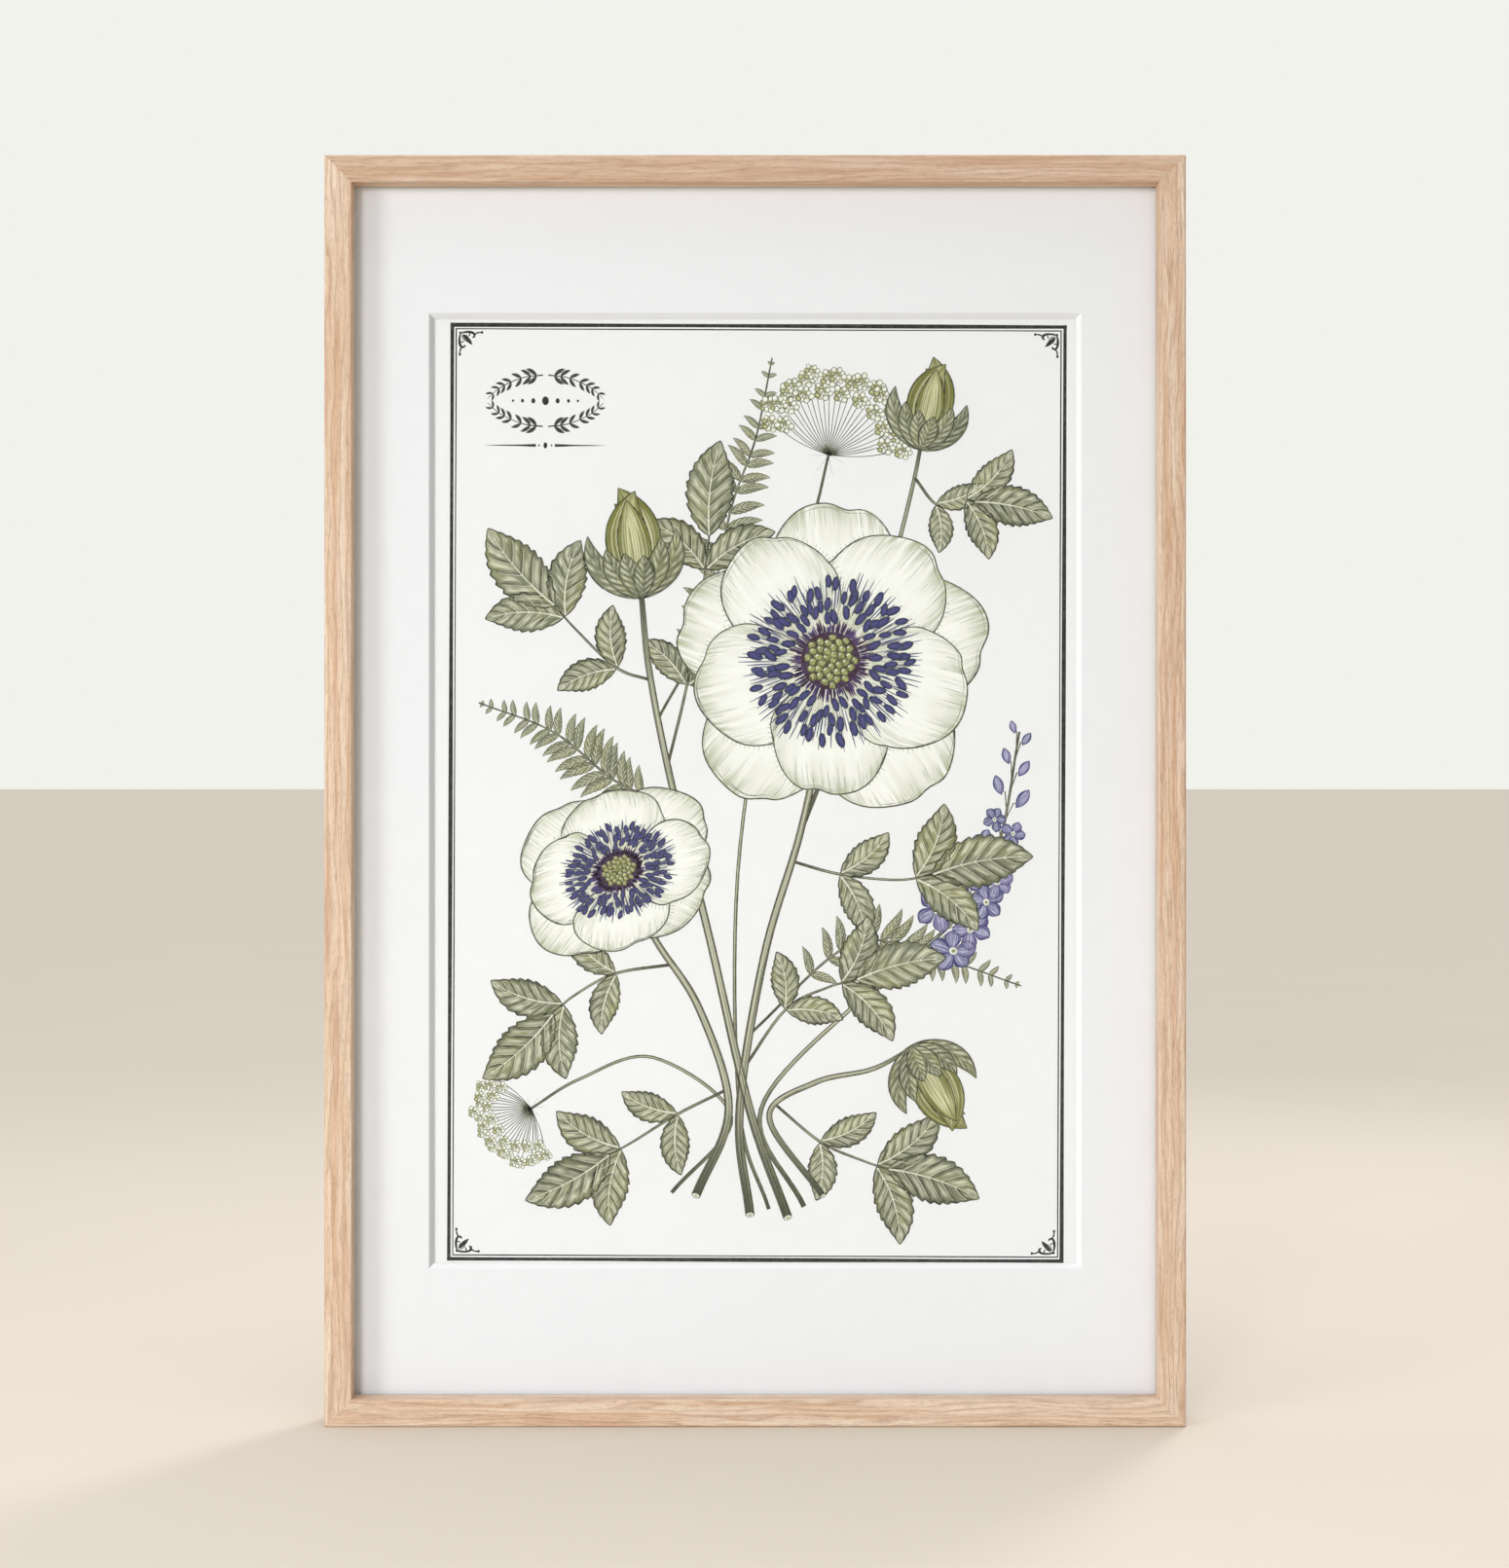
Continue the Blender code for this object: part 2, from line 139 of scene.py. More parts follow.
class InkSettings(PropertyGroup):
    leaf: colour("Leaf", "Main wash of the leaves", "8A8E75")
    leaf_warm: colour("Leaf, warm", "Yellower patches in the leaf wash", "A2A373")
    leaf_dark: colour("Leaf shade", "Dark wash along the veins", "3F4333")
    leaf_light: colour("Leaf light", "Light patches between the veins", "DCDBC0")
    vein: colour("Vein", "Lines left light in the leaves", "E2E1CE")
    petal: colour("Petal", "Nearly bare paper of the petals", "F6F6EE")
    petal_shade: colour("Petal shade", "Grey-green shade in the petals", "A9AE88")
    bud: colour("Bud", "Main wash of the buds", "E2E0B4")
    bud_dark: colour("Bud shade", "Dark wash of the buds", "77793F")
    blue: colour("Blue", "Blue end of the larkspur and stamens", "323F69")
    violet: colour("Violet", "Violet end of the larkspur and stamens", "625688")
    pale_violet: colour("Pale violet", "Lightest part of the larkspur", "C3C2DA")
    maroon: colour("Maroon", "Ring round the heart of each anemone", "45303A")
    green: colour("Heart", "Yellow-green hearts and anthers", "C2C47E")
    ink: colour("Ink", "Drawn lines", "2B2D25")
    black: colour("Black", "Border and ornaments", "2C2C2C")


class FittingSettings(PropertyGroup):
    zinc: colour("Zinc", "Zinc-plated clips and screws", "C4C6C8")
    nickel: colour("Nickel", "Nickel-plated hangers", "CFCAC0")
    rubber: colour("Rubber", "Wall bumpers", "2B2B2C")
    board: colour("Hardboard", "Backing board", "8B6A4E")
    board_dark: colour("Hardboard fibres", "Dark fibres in the backing board", "6B4E38")


class StageSettings(PropertyGroup):
    floor: colour("Floor", "Pale matt floor", "DBD0C2")
    air: colour("Surroundings", "Pale colour seen all round", "F2F2ED")
    daylight: colour("Daylight", "Cool light that comes from all round", "F0F5FA")
    distance: amount("Camera distance", "From the camera to the frame's front", 1.65, unit="LENGTH", min=0.5)
    key_power: amount("Key light", "Soft light from the upper left, in watts", 17.2, min=0)
    air_strength: amount("Surrounding light", "Strength of the light from all round", 0.43, min=0)
    top_strength: amount("Top light", "Strength of the broad light from straight above", 1.85, min=0)


def settings(name):
    return getattr(bpy.context.scene, "framed_print_" + name)


# --- Materials of the object ---


def feed(node, *values, **named):
    """Sets or links a node's inputs: the values go to the inputs in use, in order, and the rest by name."""
    used = [socket for socket in node.inputs if socket.enabled][: len(values)]
    chosen = [node.inputs[name.replace("_", " ")] for name in named]
    for socket, value in zip(used + chosen, (*values, *named.values())):
        if isinstance(value, bpy.types.NodeSocket):
            node.id_data.links.new(value, socket)
        else:
            socket.default_value = (*value, 1) if socket.type == "RGBA" and len(value) == 3 else value


def add(tree, kind, *values, out=None, stops=(), **named):
    """Adds a node, given as its kind or as kind and operation. Returns its first output in use, or the one
    that out names. Names in small letters are settings, and all else feeds its inputs. stops are a ramp's
    (place, brightness) pairs."""
    kind, *operation = kind.split()
    node = tree.nodes.new("ShaderNode" + kind)
    if operation:
        node.operation = operation[0]
    for name in [name for name in named if name.islower()]:
        setattr(node, name, named.pop(name))
    bar = node.color_ramp.elements if stops else ()
    while len(bar) < len(stops):
        bar.new(0.5)
    for element, (place, grey) in zip(bar, stops):
        element.position = place
        element.color = (grey, grey, grey, 1)
    feed(node, *values, **named)
    return node.outputs[out] if out else next(socket for socket in node.outputs if socket.enabled)


def blank(name, **values):
    """A new material with a plain Principled shader: (material, its tree, the shader)."""
    material = bpy.data.materials.new(name)
    material.use_nodes = True
    shader = material.node_tree.nodes["Principled BSDF"]
    feed(shader, **values)
    return material, material.node_tree, shader


def layered(tree, ground, *layers):
    """A colour with others laid over it in turn, each given as (share, colour)."""
    for share, tint in layers:
        ground = add(tree, "Mix", share, ground, tint, data_type="RGBA")
    return ground


def streaks(tree, place, stretch, detail, *stops):
    """Noise stretched by so much along each axis. The stops, if any, set its contrast."""
    stretched = add(tree, "VectorMath MULTIPLY", place, stretch)
    grain = add(tree, "TexNoise", stretched, 1, detail)
    return add(tree, "ValToRGB", grain, stops=stops) if stops else grain


OAK_SIDES = {  # name: (stands upright, offset of the pattern in mm, share of growth-band colour over all)
    "left_stile": (True, (310, 12, 40), 0.00),
    "right_stile": (True, (-870, 55, -90), 0.04),
    "top_rail": (False, (1240, -31, 150), 0.32),
    "bottom_rail": (False, (-460, 73, 260), 0.00),
}


def oak(side):
    """Light European oak, planed, sanded and matt-lacquered: broad soft growth bands, fine fibre streaks and
    short dark pores that all run along the piece."""
    s = settings("frame")
    upright, offset, shade = OAK_SIDES[side]
    material, tree, shader = blank("lacquered_oak_" + side)
    turn = (0, math.pi / 2 if upright else 0, 0)
    mm = add(tree, "Mapping", add(tree, "TexCoord", out="Object"), offset, turn, (1 / MM, 1 / MM, 1 / MM))

    def grain(length, per_mm, detail, *stops):
        """Streaks of a length in millimetres, so many to the millimetre across."""
        return streaks(tree, mm, (1 / length, per_mm, per_mm), detail, *stops)

    slope, wander = 0.35, 26  # of the growth bands, across the face and in millimetres to either side
    axes = add(tree, "SeparateXYZ", mm).node.outputs
    slant = add(tree, "Math MULTIPLY_ADD", axes["Y"], slope, axes["Z"])
    bent = add(tree, "Math MULTIPLY_ADD", grain(125, 0.07, 2), wander, slant)
    phase = add(tree, "Math DIVIDE", bent, s.ring_spacing)
    year = add(tree, "Math FRACT", phase)
    band = add(tree, "ValToRGB", year, stops=((0, 0.25), (0.25, 0), (0.6, 0.12), (0.9, 1), (1, 0.25)))
    broad = grain(166.67, 0.16, 3, (0.36, 0), (0.64, 1))
    fibre = grain(33.333, 1.7, 4)
    long_pores = grain(11.7647, 1.5, 3, (0.55, 0), (0.66, 1))
    short_pores = grain(5, 2.8, 2, (0.56, 0), (0.68, 1))
    pores = add(tree, "Math MAXIMUM", long_pores, short_pores)

    banded = add(tree, "Math MULTIPLY", band, 0.46)
    streak = add(tree, "ValToRGB", fibre, stops=((0.42, 0), (0.70, 0.34)))
    holes = add(tree, "Math MULTIPLY", pores, 0.40)
    layers = ((broad, s.middle), (banded, s.dark), (streak, s.dark), (holes, s.pore), (shade, s.dark))
    relief = add(tree, "Math MULTIPLY_ADD", fibre, 0.5, pores)
    feed(
        shader,
        Base_Color=layered(tree, s.pale, *layers),
        Roughness=add(tree, "MapRange", fibre, To_Min=0.42, To_Max=0.62),
        Normal=add(tree, "Bump", Height=relief, Strength=0.35, Distance=0.2 * MM, invert=True),
    )
    return material


def mottled(name, tint, other, cloud, relief=None, gloss=None, **values):
    """A finish whose colour drifts from tint to other. cloud is (size in mm, detail), relief is (size in mm,
    detail, strength, depth in mm), and gloss is the roughness that goes with each colour."""
    material, tree, shader = blank(name, **values)
    place = add(tree, "TexCoord", out="Object")
    drift = add(tree, "TexNoise", place, 1 / (cloud[0] * MM), cloud[1])
    feed(shader, Base_Color=layered(tree, tint, (drift, other)))
    if relief:
        size, detail, strength, depth = relief
        height = add(tree, "TexNoise", place, 1 / (size * MM), detail)
        feed(shader, Normal=add(tree, "Bump", Height=height, Strength=strength, Distance=depth * MM))
    if gloss:
        feed(shader, Roughness=add(tree, "MapRange", drift, To_Min=gloss[0], To_Max=gloss[1]))
    return material


def pulp(name, tint, depth):
    """Uncoated card or art paper: white, matt and softly mottled. Its felt texture is about a millimetre
    across, coarser than life so that it shows. Its depth is in millimetres."""
    felt = (0.90909, 2, 0.25, depth)
    return mottled(name, tint, times(tint, 0.965), (16.667, 3), felt, Roughness=0.92, Specular_IOR_Level=0.25)


METALS = {  # name: (the setting that gives its colour, roughness)
    "bright_steel": ("zinc", 0.38),
    "zinc_plate": ("zinc", 0.34),
    "nickel_plate": ("nickel", 0.24),
}


def metal(name):
    """Bright plated steel, tumbled smooth: even, with a soft mottle in its gloss. Each is made once."""
    if name in bpy.data.materials:
        return bpy.data.materials[name]
    kind, rough = METALS[name]
    tint = getattr(settings("fittings"), kind)
    mottle = (1.1111, 3)
    return mottled(
        name, tint, times(tint, 0.8), mottle, (*mottle, 0.15, 0.05), (rough - 0.08, rough + 0.12), Metallic=1
    )


def rubber():
    """Moulded black rubber, matt with a fine grain."""
    tint = settings("fittings").rubber
    return mottled("bumper_rubber", tint, times(tint, 2.2), (0.4, 2), (0.4, 2, 0.4, 0.1), Roughness=0.75)


def hardboard():
    """Pressed brown hardboard: matted wood fibres a few millimetres long under a faint gloss."""
    s = settings("fittings")
    material, tree, shader = blank("hardboard", Roughness=0.62)
    place = add(tree, "TexCoord", out="Object")
    blotch = add(tree, "TexNoise", place, 1 / (71.43 * MM), 4)
    fibres = add(tree, "TexNoise", place, 1 / (1.6129 * MM), 6, Distortion=0.7)
    mixed = add(tree, "Math MULTIPLY_ADD", blotch, 0.3, fibres)
    share = add(tree, "ValToRGB", mixed, stops=((0.45, 0), (0.85, 1)))
    bump = add(tree, "Bump", Height=fibres, Strength=0.3, Distance=0.2 * MM)
    feed(shader, Base_Color=layered(tree, s.board, (share, s.board_dark)), Normal=bump)
    return material


def acrylic():
    """Cast acrylic sheet, clear and polished: all that shows is a faint mirror at low angles, which grows
    with the fifth power of the slant and is the same from either side of a face."""
    material, tree, shader = blank("clear_acrylic")
    tree.nodes.remove(shader)
    straight_on = 0.012  # share mirrored when seen square
    clear = add(tree, "BsdfTransparent", (0.995, 0.998, 0.997))
    mirror = add(tree, "BsdfGlossy", (1, 1, 1), 0.02)
    slant = add(tree, "LayerWeight", 0.5, out="Facing")
    steep = add(tree, "Math POWER", slant, 5)
    share = add(tree, "Math MULTIPLY_ADD", steep, 1 - straight_on, straight_on)
    feed(tree.nodes["Material Output"], Surface=add(tree, "MixShader", share, clear, mirror))
    return material


# --- Printed finishes ---

VEINS = 7  # side veins to each half of a leaf
VEIN_SWEEP = 1.25  # how many vein spacings a side vein runs forward on its way to the edge
LEAF_SEEDS = 40  # how far apart the patterns of two leaves may lie
OTHER_SEEDS = 60  # and those of other shapes

# The print's finishes by the film they lie in: broad washes, dark lines and lines left light
FILMS = {
    "wash": ("leaf", "petal", "bud", "stem", "larkspur", "stamen", "heart"),
    "ink": ("ink", "streak", "maroon", "violet", "black"),
    "light": ("vein",),
}


def printed(name):
    """Watercolour and pencil, printed matt on art paper: (its tree, the shader, the tone of each shape)."""
    _, tree, shader = blank(name, Roughness=0.9, Specular_IOR_Level=0.2)
    return tree, shader, add(tree, "Attribute", attribute_name="tone", out="Fac")


def wash_inputs(tree, tone, seeds):
    """What a wash reads: u along the shape, v across it from -1 to 1, how far v is from the middle line, a
    seed of the shape's own, and (u, v, seed)."""
    axes = add(tree, "SeparateXYZ", add(tree, "UVMap", uv_map="wash")).node.outputs
    across = add(tree, "Math MULTIPLY_ADD", axes["Y"], 2, -1)
    outward = add(tree, "Math ABSOLUTE", across)
    seed = add(tree, "Math MULTIPLY", tone, seeds)
    return axes["X"], across, outward, seed, add(tree, "CombineXYZ", axes["X"], across, seed)


def leaf_wash():
    """Sage-green wash with dark hatching beside each side vein and a light patch before the next one."""
    s = settings("ink")
    tree, shader, tone = printed("leaf_wash")
    along, across, outward, seed, place = wash_inputs(tree, tone, LEAF_SEEDS)
    swept = add(tree, "Math MULTIPLY", outward, -VEIN_SWEEP)
    steps = add(tree, "Math MULTIPLY_ADD", along, VEINS, swept)
    between = add(tree, "Math FRACT", steps)
    vein_place = add(tree, "CombineXYZ", steps, across, seed)
    hatch = streaks(tree, vein_place, (10, 2.2, 1), 3, (0.38, 0), (0.58, 1))
    patch = streaks(tree, vein_place, (1.1, 1.7, 1), 1, (0.36, 0), (0.52, 1))
    drift = streaks(tree, place, (1.6, 0.9, 1), 2, (0.42, 0), (0.64, 0.9))

    glow = add(tree, "ValToRGB", between, stops=((0, 0), (0.28, 0.15), (0.6, 1), (0.84, 0.5), (1, 0)))
    glow = add(tree, "Math MULTIPLY", glow, patch)
    inner = add(tree, "ValToRGB", outward, stops=((0.04, 0.1), (0.3, 1), (0.75, 1), (0.95, 0.2)))
    glow = add(tree, "Math MULTIPLY", glow, inner)
    shade = add(tree, "ValToRGB", between, stops=((0, 1), (0.16, 1), (0.42, 0.35), (0.8, 0.1), (1, 0.5)))
    shade = add(tree, "Math MULTIPLY", shade, hatch)
    rim = add(tree, "ValToRGB", outward, stops=((0.7, 0), (1, 0.6)))
    shade = add(tree, "Math MAXIMUM", shade, rim)
    half = add(tree, "Math MULTIPLY_ADD", across, 0.5, 0.5)
    half = add(tree, "ValToRGB", half, stops=((0.46, 0.24), (0.54, 0)))
    foot = add(tree, "ValToRGB", along, stops=((0, 0.45), (0.22, 0)))
    whole = add(tree, "Math MAXIMUM", half, foot)
    shade = add(tree, "Math ADD", shade, whole, use_clamp=True)
    weight = add(tree, "Math MULTIPLY_ADD", tone, -0.35, 1)
    shade = add(tree, "Math MULTIPLY", shade, weight)
    layers = ((drift, s.leaf_warm), (glow, s.leaf_light), (shade, s.leaf_dark))
    feed(shader, Base_Color=layered(tree, s.leaf, *layers))


def petal_wash():
    """Almost bare paper, with grey-green pencil streaks that run from the base and fade towards the tip, and
    a shaded side."""
    s = settings("ink")
    tree, shader, tone = printed("petal_wash")
    along, across, outward, _, place = wash_inputs(tree, tone, OTHER_SEEDS)
    fine = streaks(tree, place, (2.4, 17, 1), 3, (0.40, 0.1), (0.62, 1))
    soft = streaks(tree, place, (1.7, 3.0, 1), 2, (0.42, 0), (0.66, 0.8))
    ends = add(tree, "ValToRGB", along, stops=((0.15, 1), (0.42, 0.30), (0.66, 0.05), (0.86, 0.3), (1, 0.95)))
    rims = add(tree, "ValToRGB", outward, stops=((0.66, 0), (1, 0.85)))
    side = add(tree, "Math MULTIPLY_ADD", across, 0.5, 0.5)
    side = add(tree, "ValToRGB", side, stops=((0.05, 0.75), (0.36, 0)))
    reach = add(tree, "Math MAXIMUM", ends, rims)
    reach = add(tree, "Math MAXIMUM", reach, side)
    pencil = add(tree, "Math MAXIMUM", fine, soft)
    shade = add(tree, "Math MULTIPLY", pencil, reach)
    feed(shader, Base_Color=layered(tree, s.petal, (shade, s.petal_shade)))


def streaked_wash(name, light, dark, deep=None):
    """A wash with pencil streaks along it and darker sides. Its shade may run from dark to deep by tone."""
    tree, shader, tone = printed(name)
    along, _, outward, _, place = wash_inputs(tree, tone, OTHER_SEEDS)
    lines = streaks(tree, place, (1.8, 8, 1), 3, (0.40, 0.05), (0.62, 0.75))
    sides = add(tree, "ValToRGB", outward, stops=((0.30, 0), (1, 0.85)))
    ends = add(tree, "ValToRGB", along, stops=((0, 0.8), (0.35, 0.08), (0.75, 0.08), (1, 0.7)))
    reach = add(tree, "Math MAXIMUM", sides, ends)
    shade = add(tree, "Math ADD", lines, reach, use_clamp=True)
    shade = add(tree, "Math POWER", shade, 1.3)
    if deep:
        dark = layered(tree, dark, (tone, deep))
    feed(shader, Base_Color=layered(tree, light, (shade, dark)))


def drawn_line(name, tint, light, faintest=0.62):
    """A pencil or pen line, whose pressure varies every few millimetres. Tone takes it from light to full."""
    tree, shader, tone = printed(name)
    spell = 1 / (3.84615 * MM)
    place = add(tree, "TexCoord", out="Object")
    pressure = streaks(tree, place, (spell, spell, spell), 2, (0.3, faintest), (0.6, 1))
    drawn = add(tree, "Math MULTIPLY", pressure, tone)
    feed(shader, Base_Color=layered(tree, light, (drawn, tint)))


def printed_finishes():
    """Makes the print's materials, each named for its finish."""
    s = settings("ink")
    leaf_wash()
    petal_wash()
    streaked_wash("bud_wash", s.bud, s.bud_dark)
    streaked_wash("stem_wash", s.leaf_light, s.leaf_dark)
    streaked_wash("larkspur_wash", s.pale_violet, s.violet, s.blue)
    streaked_wash("stamen_wash", s.violet, s.blue, s.blue)
    streaked_wash("heart_wash", s.green, s.leaf_dark)
    drawn_line("ink_line", s.ink, s.petal_shade)
    drawn_line("streak_line", s.leaf_dark, s.petal)
    drawn_line("maroon_line", s.maroon, s.violet)
    drawn_line("violet_line", s.blue, s.violet)
    drawn_line("black_line", s.black, s.leaf, 0.86)
    drawn_line("vein_line", s.vein, s.leaf)


# --- Pieces ---


def new_object(name, data):
    """A new object in the scene. A bmesh given as its data becomes a mesh, and is freed."""
    if isinstance(data, bmesh.types.BMesh):
        mesh = bpy.data.meshes.new(name)
        data.to_mesh(mesh)
        data.free()
        data = mesh
    obj = bpy.data.objects.new(name, data)
    bpy.context.scene.collection.objects.link(obj)
    return obj


def piece(name, bm, slot, materials, body=BODY, replaces=(), smooth=35):
    obj = new_object(name, bm)
    for material in materials:
        obj.data.materials.append(material)
    if smooth:
        obj.data.shade_smooth()
        obj.data.set_sharp_from_angle(angle=math.radians(smooth))
    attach(obj, body)
    if replaces:
        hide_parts(*replaces)


def repaint(material, *nodes):
    """Gives CAD nodes, whose shapes are right as they are, their finish."""
    for node in nodes:
        slots = frame["nodes"][node].data.materials
        slots.clear()
        slots.append(material)


def nodes_with(part):
    """The CAD nodes with this in their names, each with its two corners."""
    return [(node, *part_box(node)) for node in frame["nodes"] if part in node]


def arc(centre, radius, start, end, steps):
    """Points on an arc, with angles in degrees."""
    angles = [math.radians(start + (end - start) * i / steps) for i in range(steps + 1)]
    return [(centre[0] + radius * math.cos(a), centre[1] + radius * math.sin(a)) for a in angles]


def block(low, high):
    """A box between two corners."""
    bm = bmesh.new()
    bmesh.ops.create_cube(bm, size=1)
    bmesh.ops.scale(bm, verts=bm.verts, vec=high - low)
    bmesh.ops.translate(bm, verts=bm.verts, vec=(low + high) / 2)
    return bm


def loft(bm, outline, push):
    """Adds the solid between an outline and the same outline moved by push. Returns the far vertices."""
    face = bm.faces.new([bm.verts.new(point) for point in outline])
    extruded = bmesh.ops.extrude_face_region(bm, geom=[face], use_keep_orig=True)
    far = [item for item in extruded["geom"] if isinstance(item, bmesh.types.BMVert)]
    bmesh.ops.translate(bm, verts=far, vec=push)
    bmesh.ops.recalc_face_normals(bm, faces=bm.faces)
    return far


def turned(profile, steps):
    """A shape turned about Y from the (radius, y) points of its profile."""
    bm = bmesh.new()
    verts = [bm.verts.new((radius, y, 0)) for radius, y in profile]
    edges = [bm.edges.new(pair) for pair in zip(verts, verts[1:])]
    whole = {"axis": (0, 1, 0), "cent": (0, 0, 0), "angle": 2 * math.pi, "use_merge": True}
    bmesh.ops.spin(bm, geom=verts + edges, steps=steps, **whole)
    bmesh.ops.remove_doubles(bm, verts=bm.verts, dist=1e-6)
    bmesh.ops.recalc_face_normals(bm, faces=bm.faces)
    return bm


def bevel(bm, edges, width, segments):
    shape = {"offset_type": "OFFSET", "profile": 0.5, "affect": "EDGES", "material": -1}
    bmesh.ops.bevel(bm, geom=edges, offset=width, segments=segments, **shape)


def soften(bm, width, segments, angle=40):
    """Bevels the edges sharper than an angle."""
    bm.normal_update()
    sharp = [e for e in bm.edges if e.is_manifold and e.calc_face_angle(0) > math.radians(angle)]
    bevel(bm, sharp, width, segments)


def seat(bm, turn, place):
    """Turns a shape about Y and moves it to its place."""
    bmesh.ops.rotate(bm, verts=bm.verts, matrix=Matrix.Rotation(turn, 3, "Y"))
    bmesh.ops.translate(bm, verts=bm.verts, vec=place)


def cut_by(bm, cutter):
    """The first shape less the second."""
    work, tool = new_object("work", bm), new_object("cutter", cutter)
    boolean = work.modifiers.new("recess", "BOOLEAN")
    boolean.operation = "DIFFERENCE"
    boolean.object = tool
    bpy.context.view_layer.update()
    evaluated = work.evaluated_get(bpy.context.evaluated_depsgraph_get())
    result = bmesh.new()
    result.from_mesh(evaluated.to_mesh())
    evaluated.to_mesh_clear()
    for obj in (work, tool):
        bpy.data.meshes.remove(obj.data)
    return result


# --- Frame ---


def moulding_profile():
    """The moulding's section as (inset, y) points."""
    r = settings("frame").roundness
    eased = 0.4 * MM  # radius of the lip's front edge
    lip_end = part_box("glazing_sheet")[0].y - 0.3 * MM
    wall = WIDTH / 2 - (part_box("glazing_sheet")[1].x + MM)
    return [
        *arc((r, FRONT + r), r, 180, 270, 6),
        *arc((FACE - eased, FRONT + eased), eased, 270, 360, 3),
        (FACE, lip_end),
        (wall, lip_end),
        (wall, BACK),
        *arc((r, BACK - r), r, 90, 180, 6),
    ]


class FRAMEDPRINT_OT_moulding(Operator):
    """Make the four oak sides, mitred at the corners"""

    bl_idname = "framed_print.moulding"
    bl_label = "Oak Moulding"

    def execute(self, context):
        sides = {
            "bottom_rail": (WIDTH, (0, 0, 0), 0),
            "left_stile": (HEIGHT, (-WIDTH / 2, 0, MIDDLE), math.pi / 2),
            "top_rail": (WIDTH, (0, 0, HEIGHT), math.pi),
            "right_stile": (HEIGHT, (WIDTH / 2, 0, MIDDLE), -math.pi / 2),
        }
        joint = 0.03 * MM  # a mitre that closes well, with a hair line left
        for name, (length, middle, turn) in sides.items():
            bm = bmesh.new()
            far = loft(bm, [(-length / 2, y, inset) for inset, y in moulding_profile()], (length, 0, 0))
            for vert in bm.verts:
                vert.co.x += (vert.co.z + joint) * (-1 if vert in far else 1)
            seat(bm, turn, middle)
            piece("oak_" + name, bm, "oak_frame", [oak(name)], replaces=[name], smooth=30)
        return {"FINISHED"}


class FRAMEDPRINT_OT_corner_nails(Operator):
    """Make the steel V-nails pressed into the back of each mitre"""

    bl_idname = "framed_print.corner_nails"
    bl_label = "V-Nails"

    def execute(self, context):
        thick, crimp, steps = 0.55 * MM, 0.35 * MM, 8
        proud = 0.05 * MM  # of the moulding's back
        for node, low, high in nodes_with("v_nail_"):
            sign_x = -1 if low.x < 0 else 1
            sign_z = -1 if low.z < MIDDLE else 1
            corner_x = high.x if sign_x > 0 else low.x
            corner_z = high.z if sign_z > 0 else low.z
            run = [((high.x - low.x) * i / steps, crimp * (i % 2)) for i in range(steps + 1)]
            wing = run + [(x, z + thick) for x, z in reversed(run[1:])]
            outline = wing + [(thick, thick)] + [(z, x) for x, z in reversed(wing[1:-1])]
            bm = bmesh.new()
            places = [(corner_x - sign_x * a, low.y, corner_z - sign_z * b) for a, b in outline]
            loft(bm, places, (0, BACK + proud - low.y, 0))
            piece("steel_" + node, bm, "corner_steel", [metal("bright_steel")], replaces=[node], smooth=30)
        return {"FINISHED"}


def window_of_mat():
    """Half the width and height of the mat's window where the print shows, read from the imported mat."""
    low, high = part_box("mat_board")
    back = [v.co for v in frame["nodes"]["mat_board"].data.vertices if v.co.y > high.y - 0.1 * MM]
    inside = [c for c in back if low.x + MM < c.x < high.x - MM]
    return max(c.x for c in inside), max(c.z for c in inside) - MIDDLE


def window_mat():
    """The mat with its bevelled window. Material 1 is the cut edge, and 2 and 3 its left and top sides, which
    carry painted shade: darker copies of the core, as if lit from the upper left.
    """
    low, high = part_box("mat_board")
    half_x, half_z = window_of_mat()
    lip = 0.15 * MM  # where the blade rounds the card's surface over
    rims = [
        (high.x, high.z - MIDDLE, low.y),
        (half_x + MAT_BEVEL + lip, half_z + MAT_BEVEL + lip, low.y),
        (half_x + MAT_BEVEL, half_z + MAT_BEVEL, low.y + lip * 0.5),
        (half_x, half_z, high.y),
        (high.x, high.z - MIDDLE, high.y),
    ]
    cut_edge = 3  # the run that ends at the window's rim
    bm = bmesh.new()
    loops = []
    for rim_x, rim_z, y in rims:
        corners = ((-1, -1), (1, -1), (1, 1), (-1, 1))
        verts = [bm.verts.new((sx * rim_x, y, MIDDLE + sz * rim_z)) for sx, sz in corners]
        loops.append([bm.edges.new((verts[i - 1], verts[i])) for i in range(4)])
    for i, loop in enumerate(loops):
        made = bmesh.ops.bridge_loops(bm, edges=loops[i - 1] + loop)
        for face in made["faces"]:
            centre = face.calc_center_median()
            left, top = centre.x < -10 * MM, centre.z > MIDDLE + 10 * MM
            # the cut edge's left and top sides take the darker copies of the core: painted shade
            face.material_index = 0 if i != cut_edge else 2 if left else 3 if top else 1
    bmesh.ops.recalc_face_normals(bm, faces=bm.faces)
    return bm


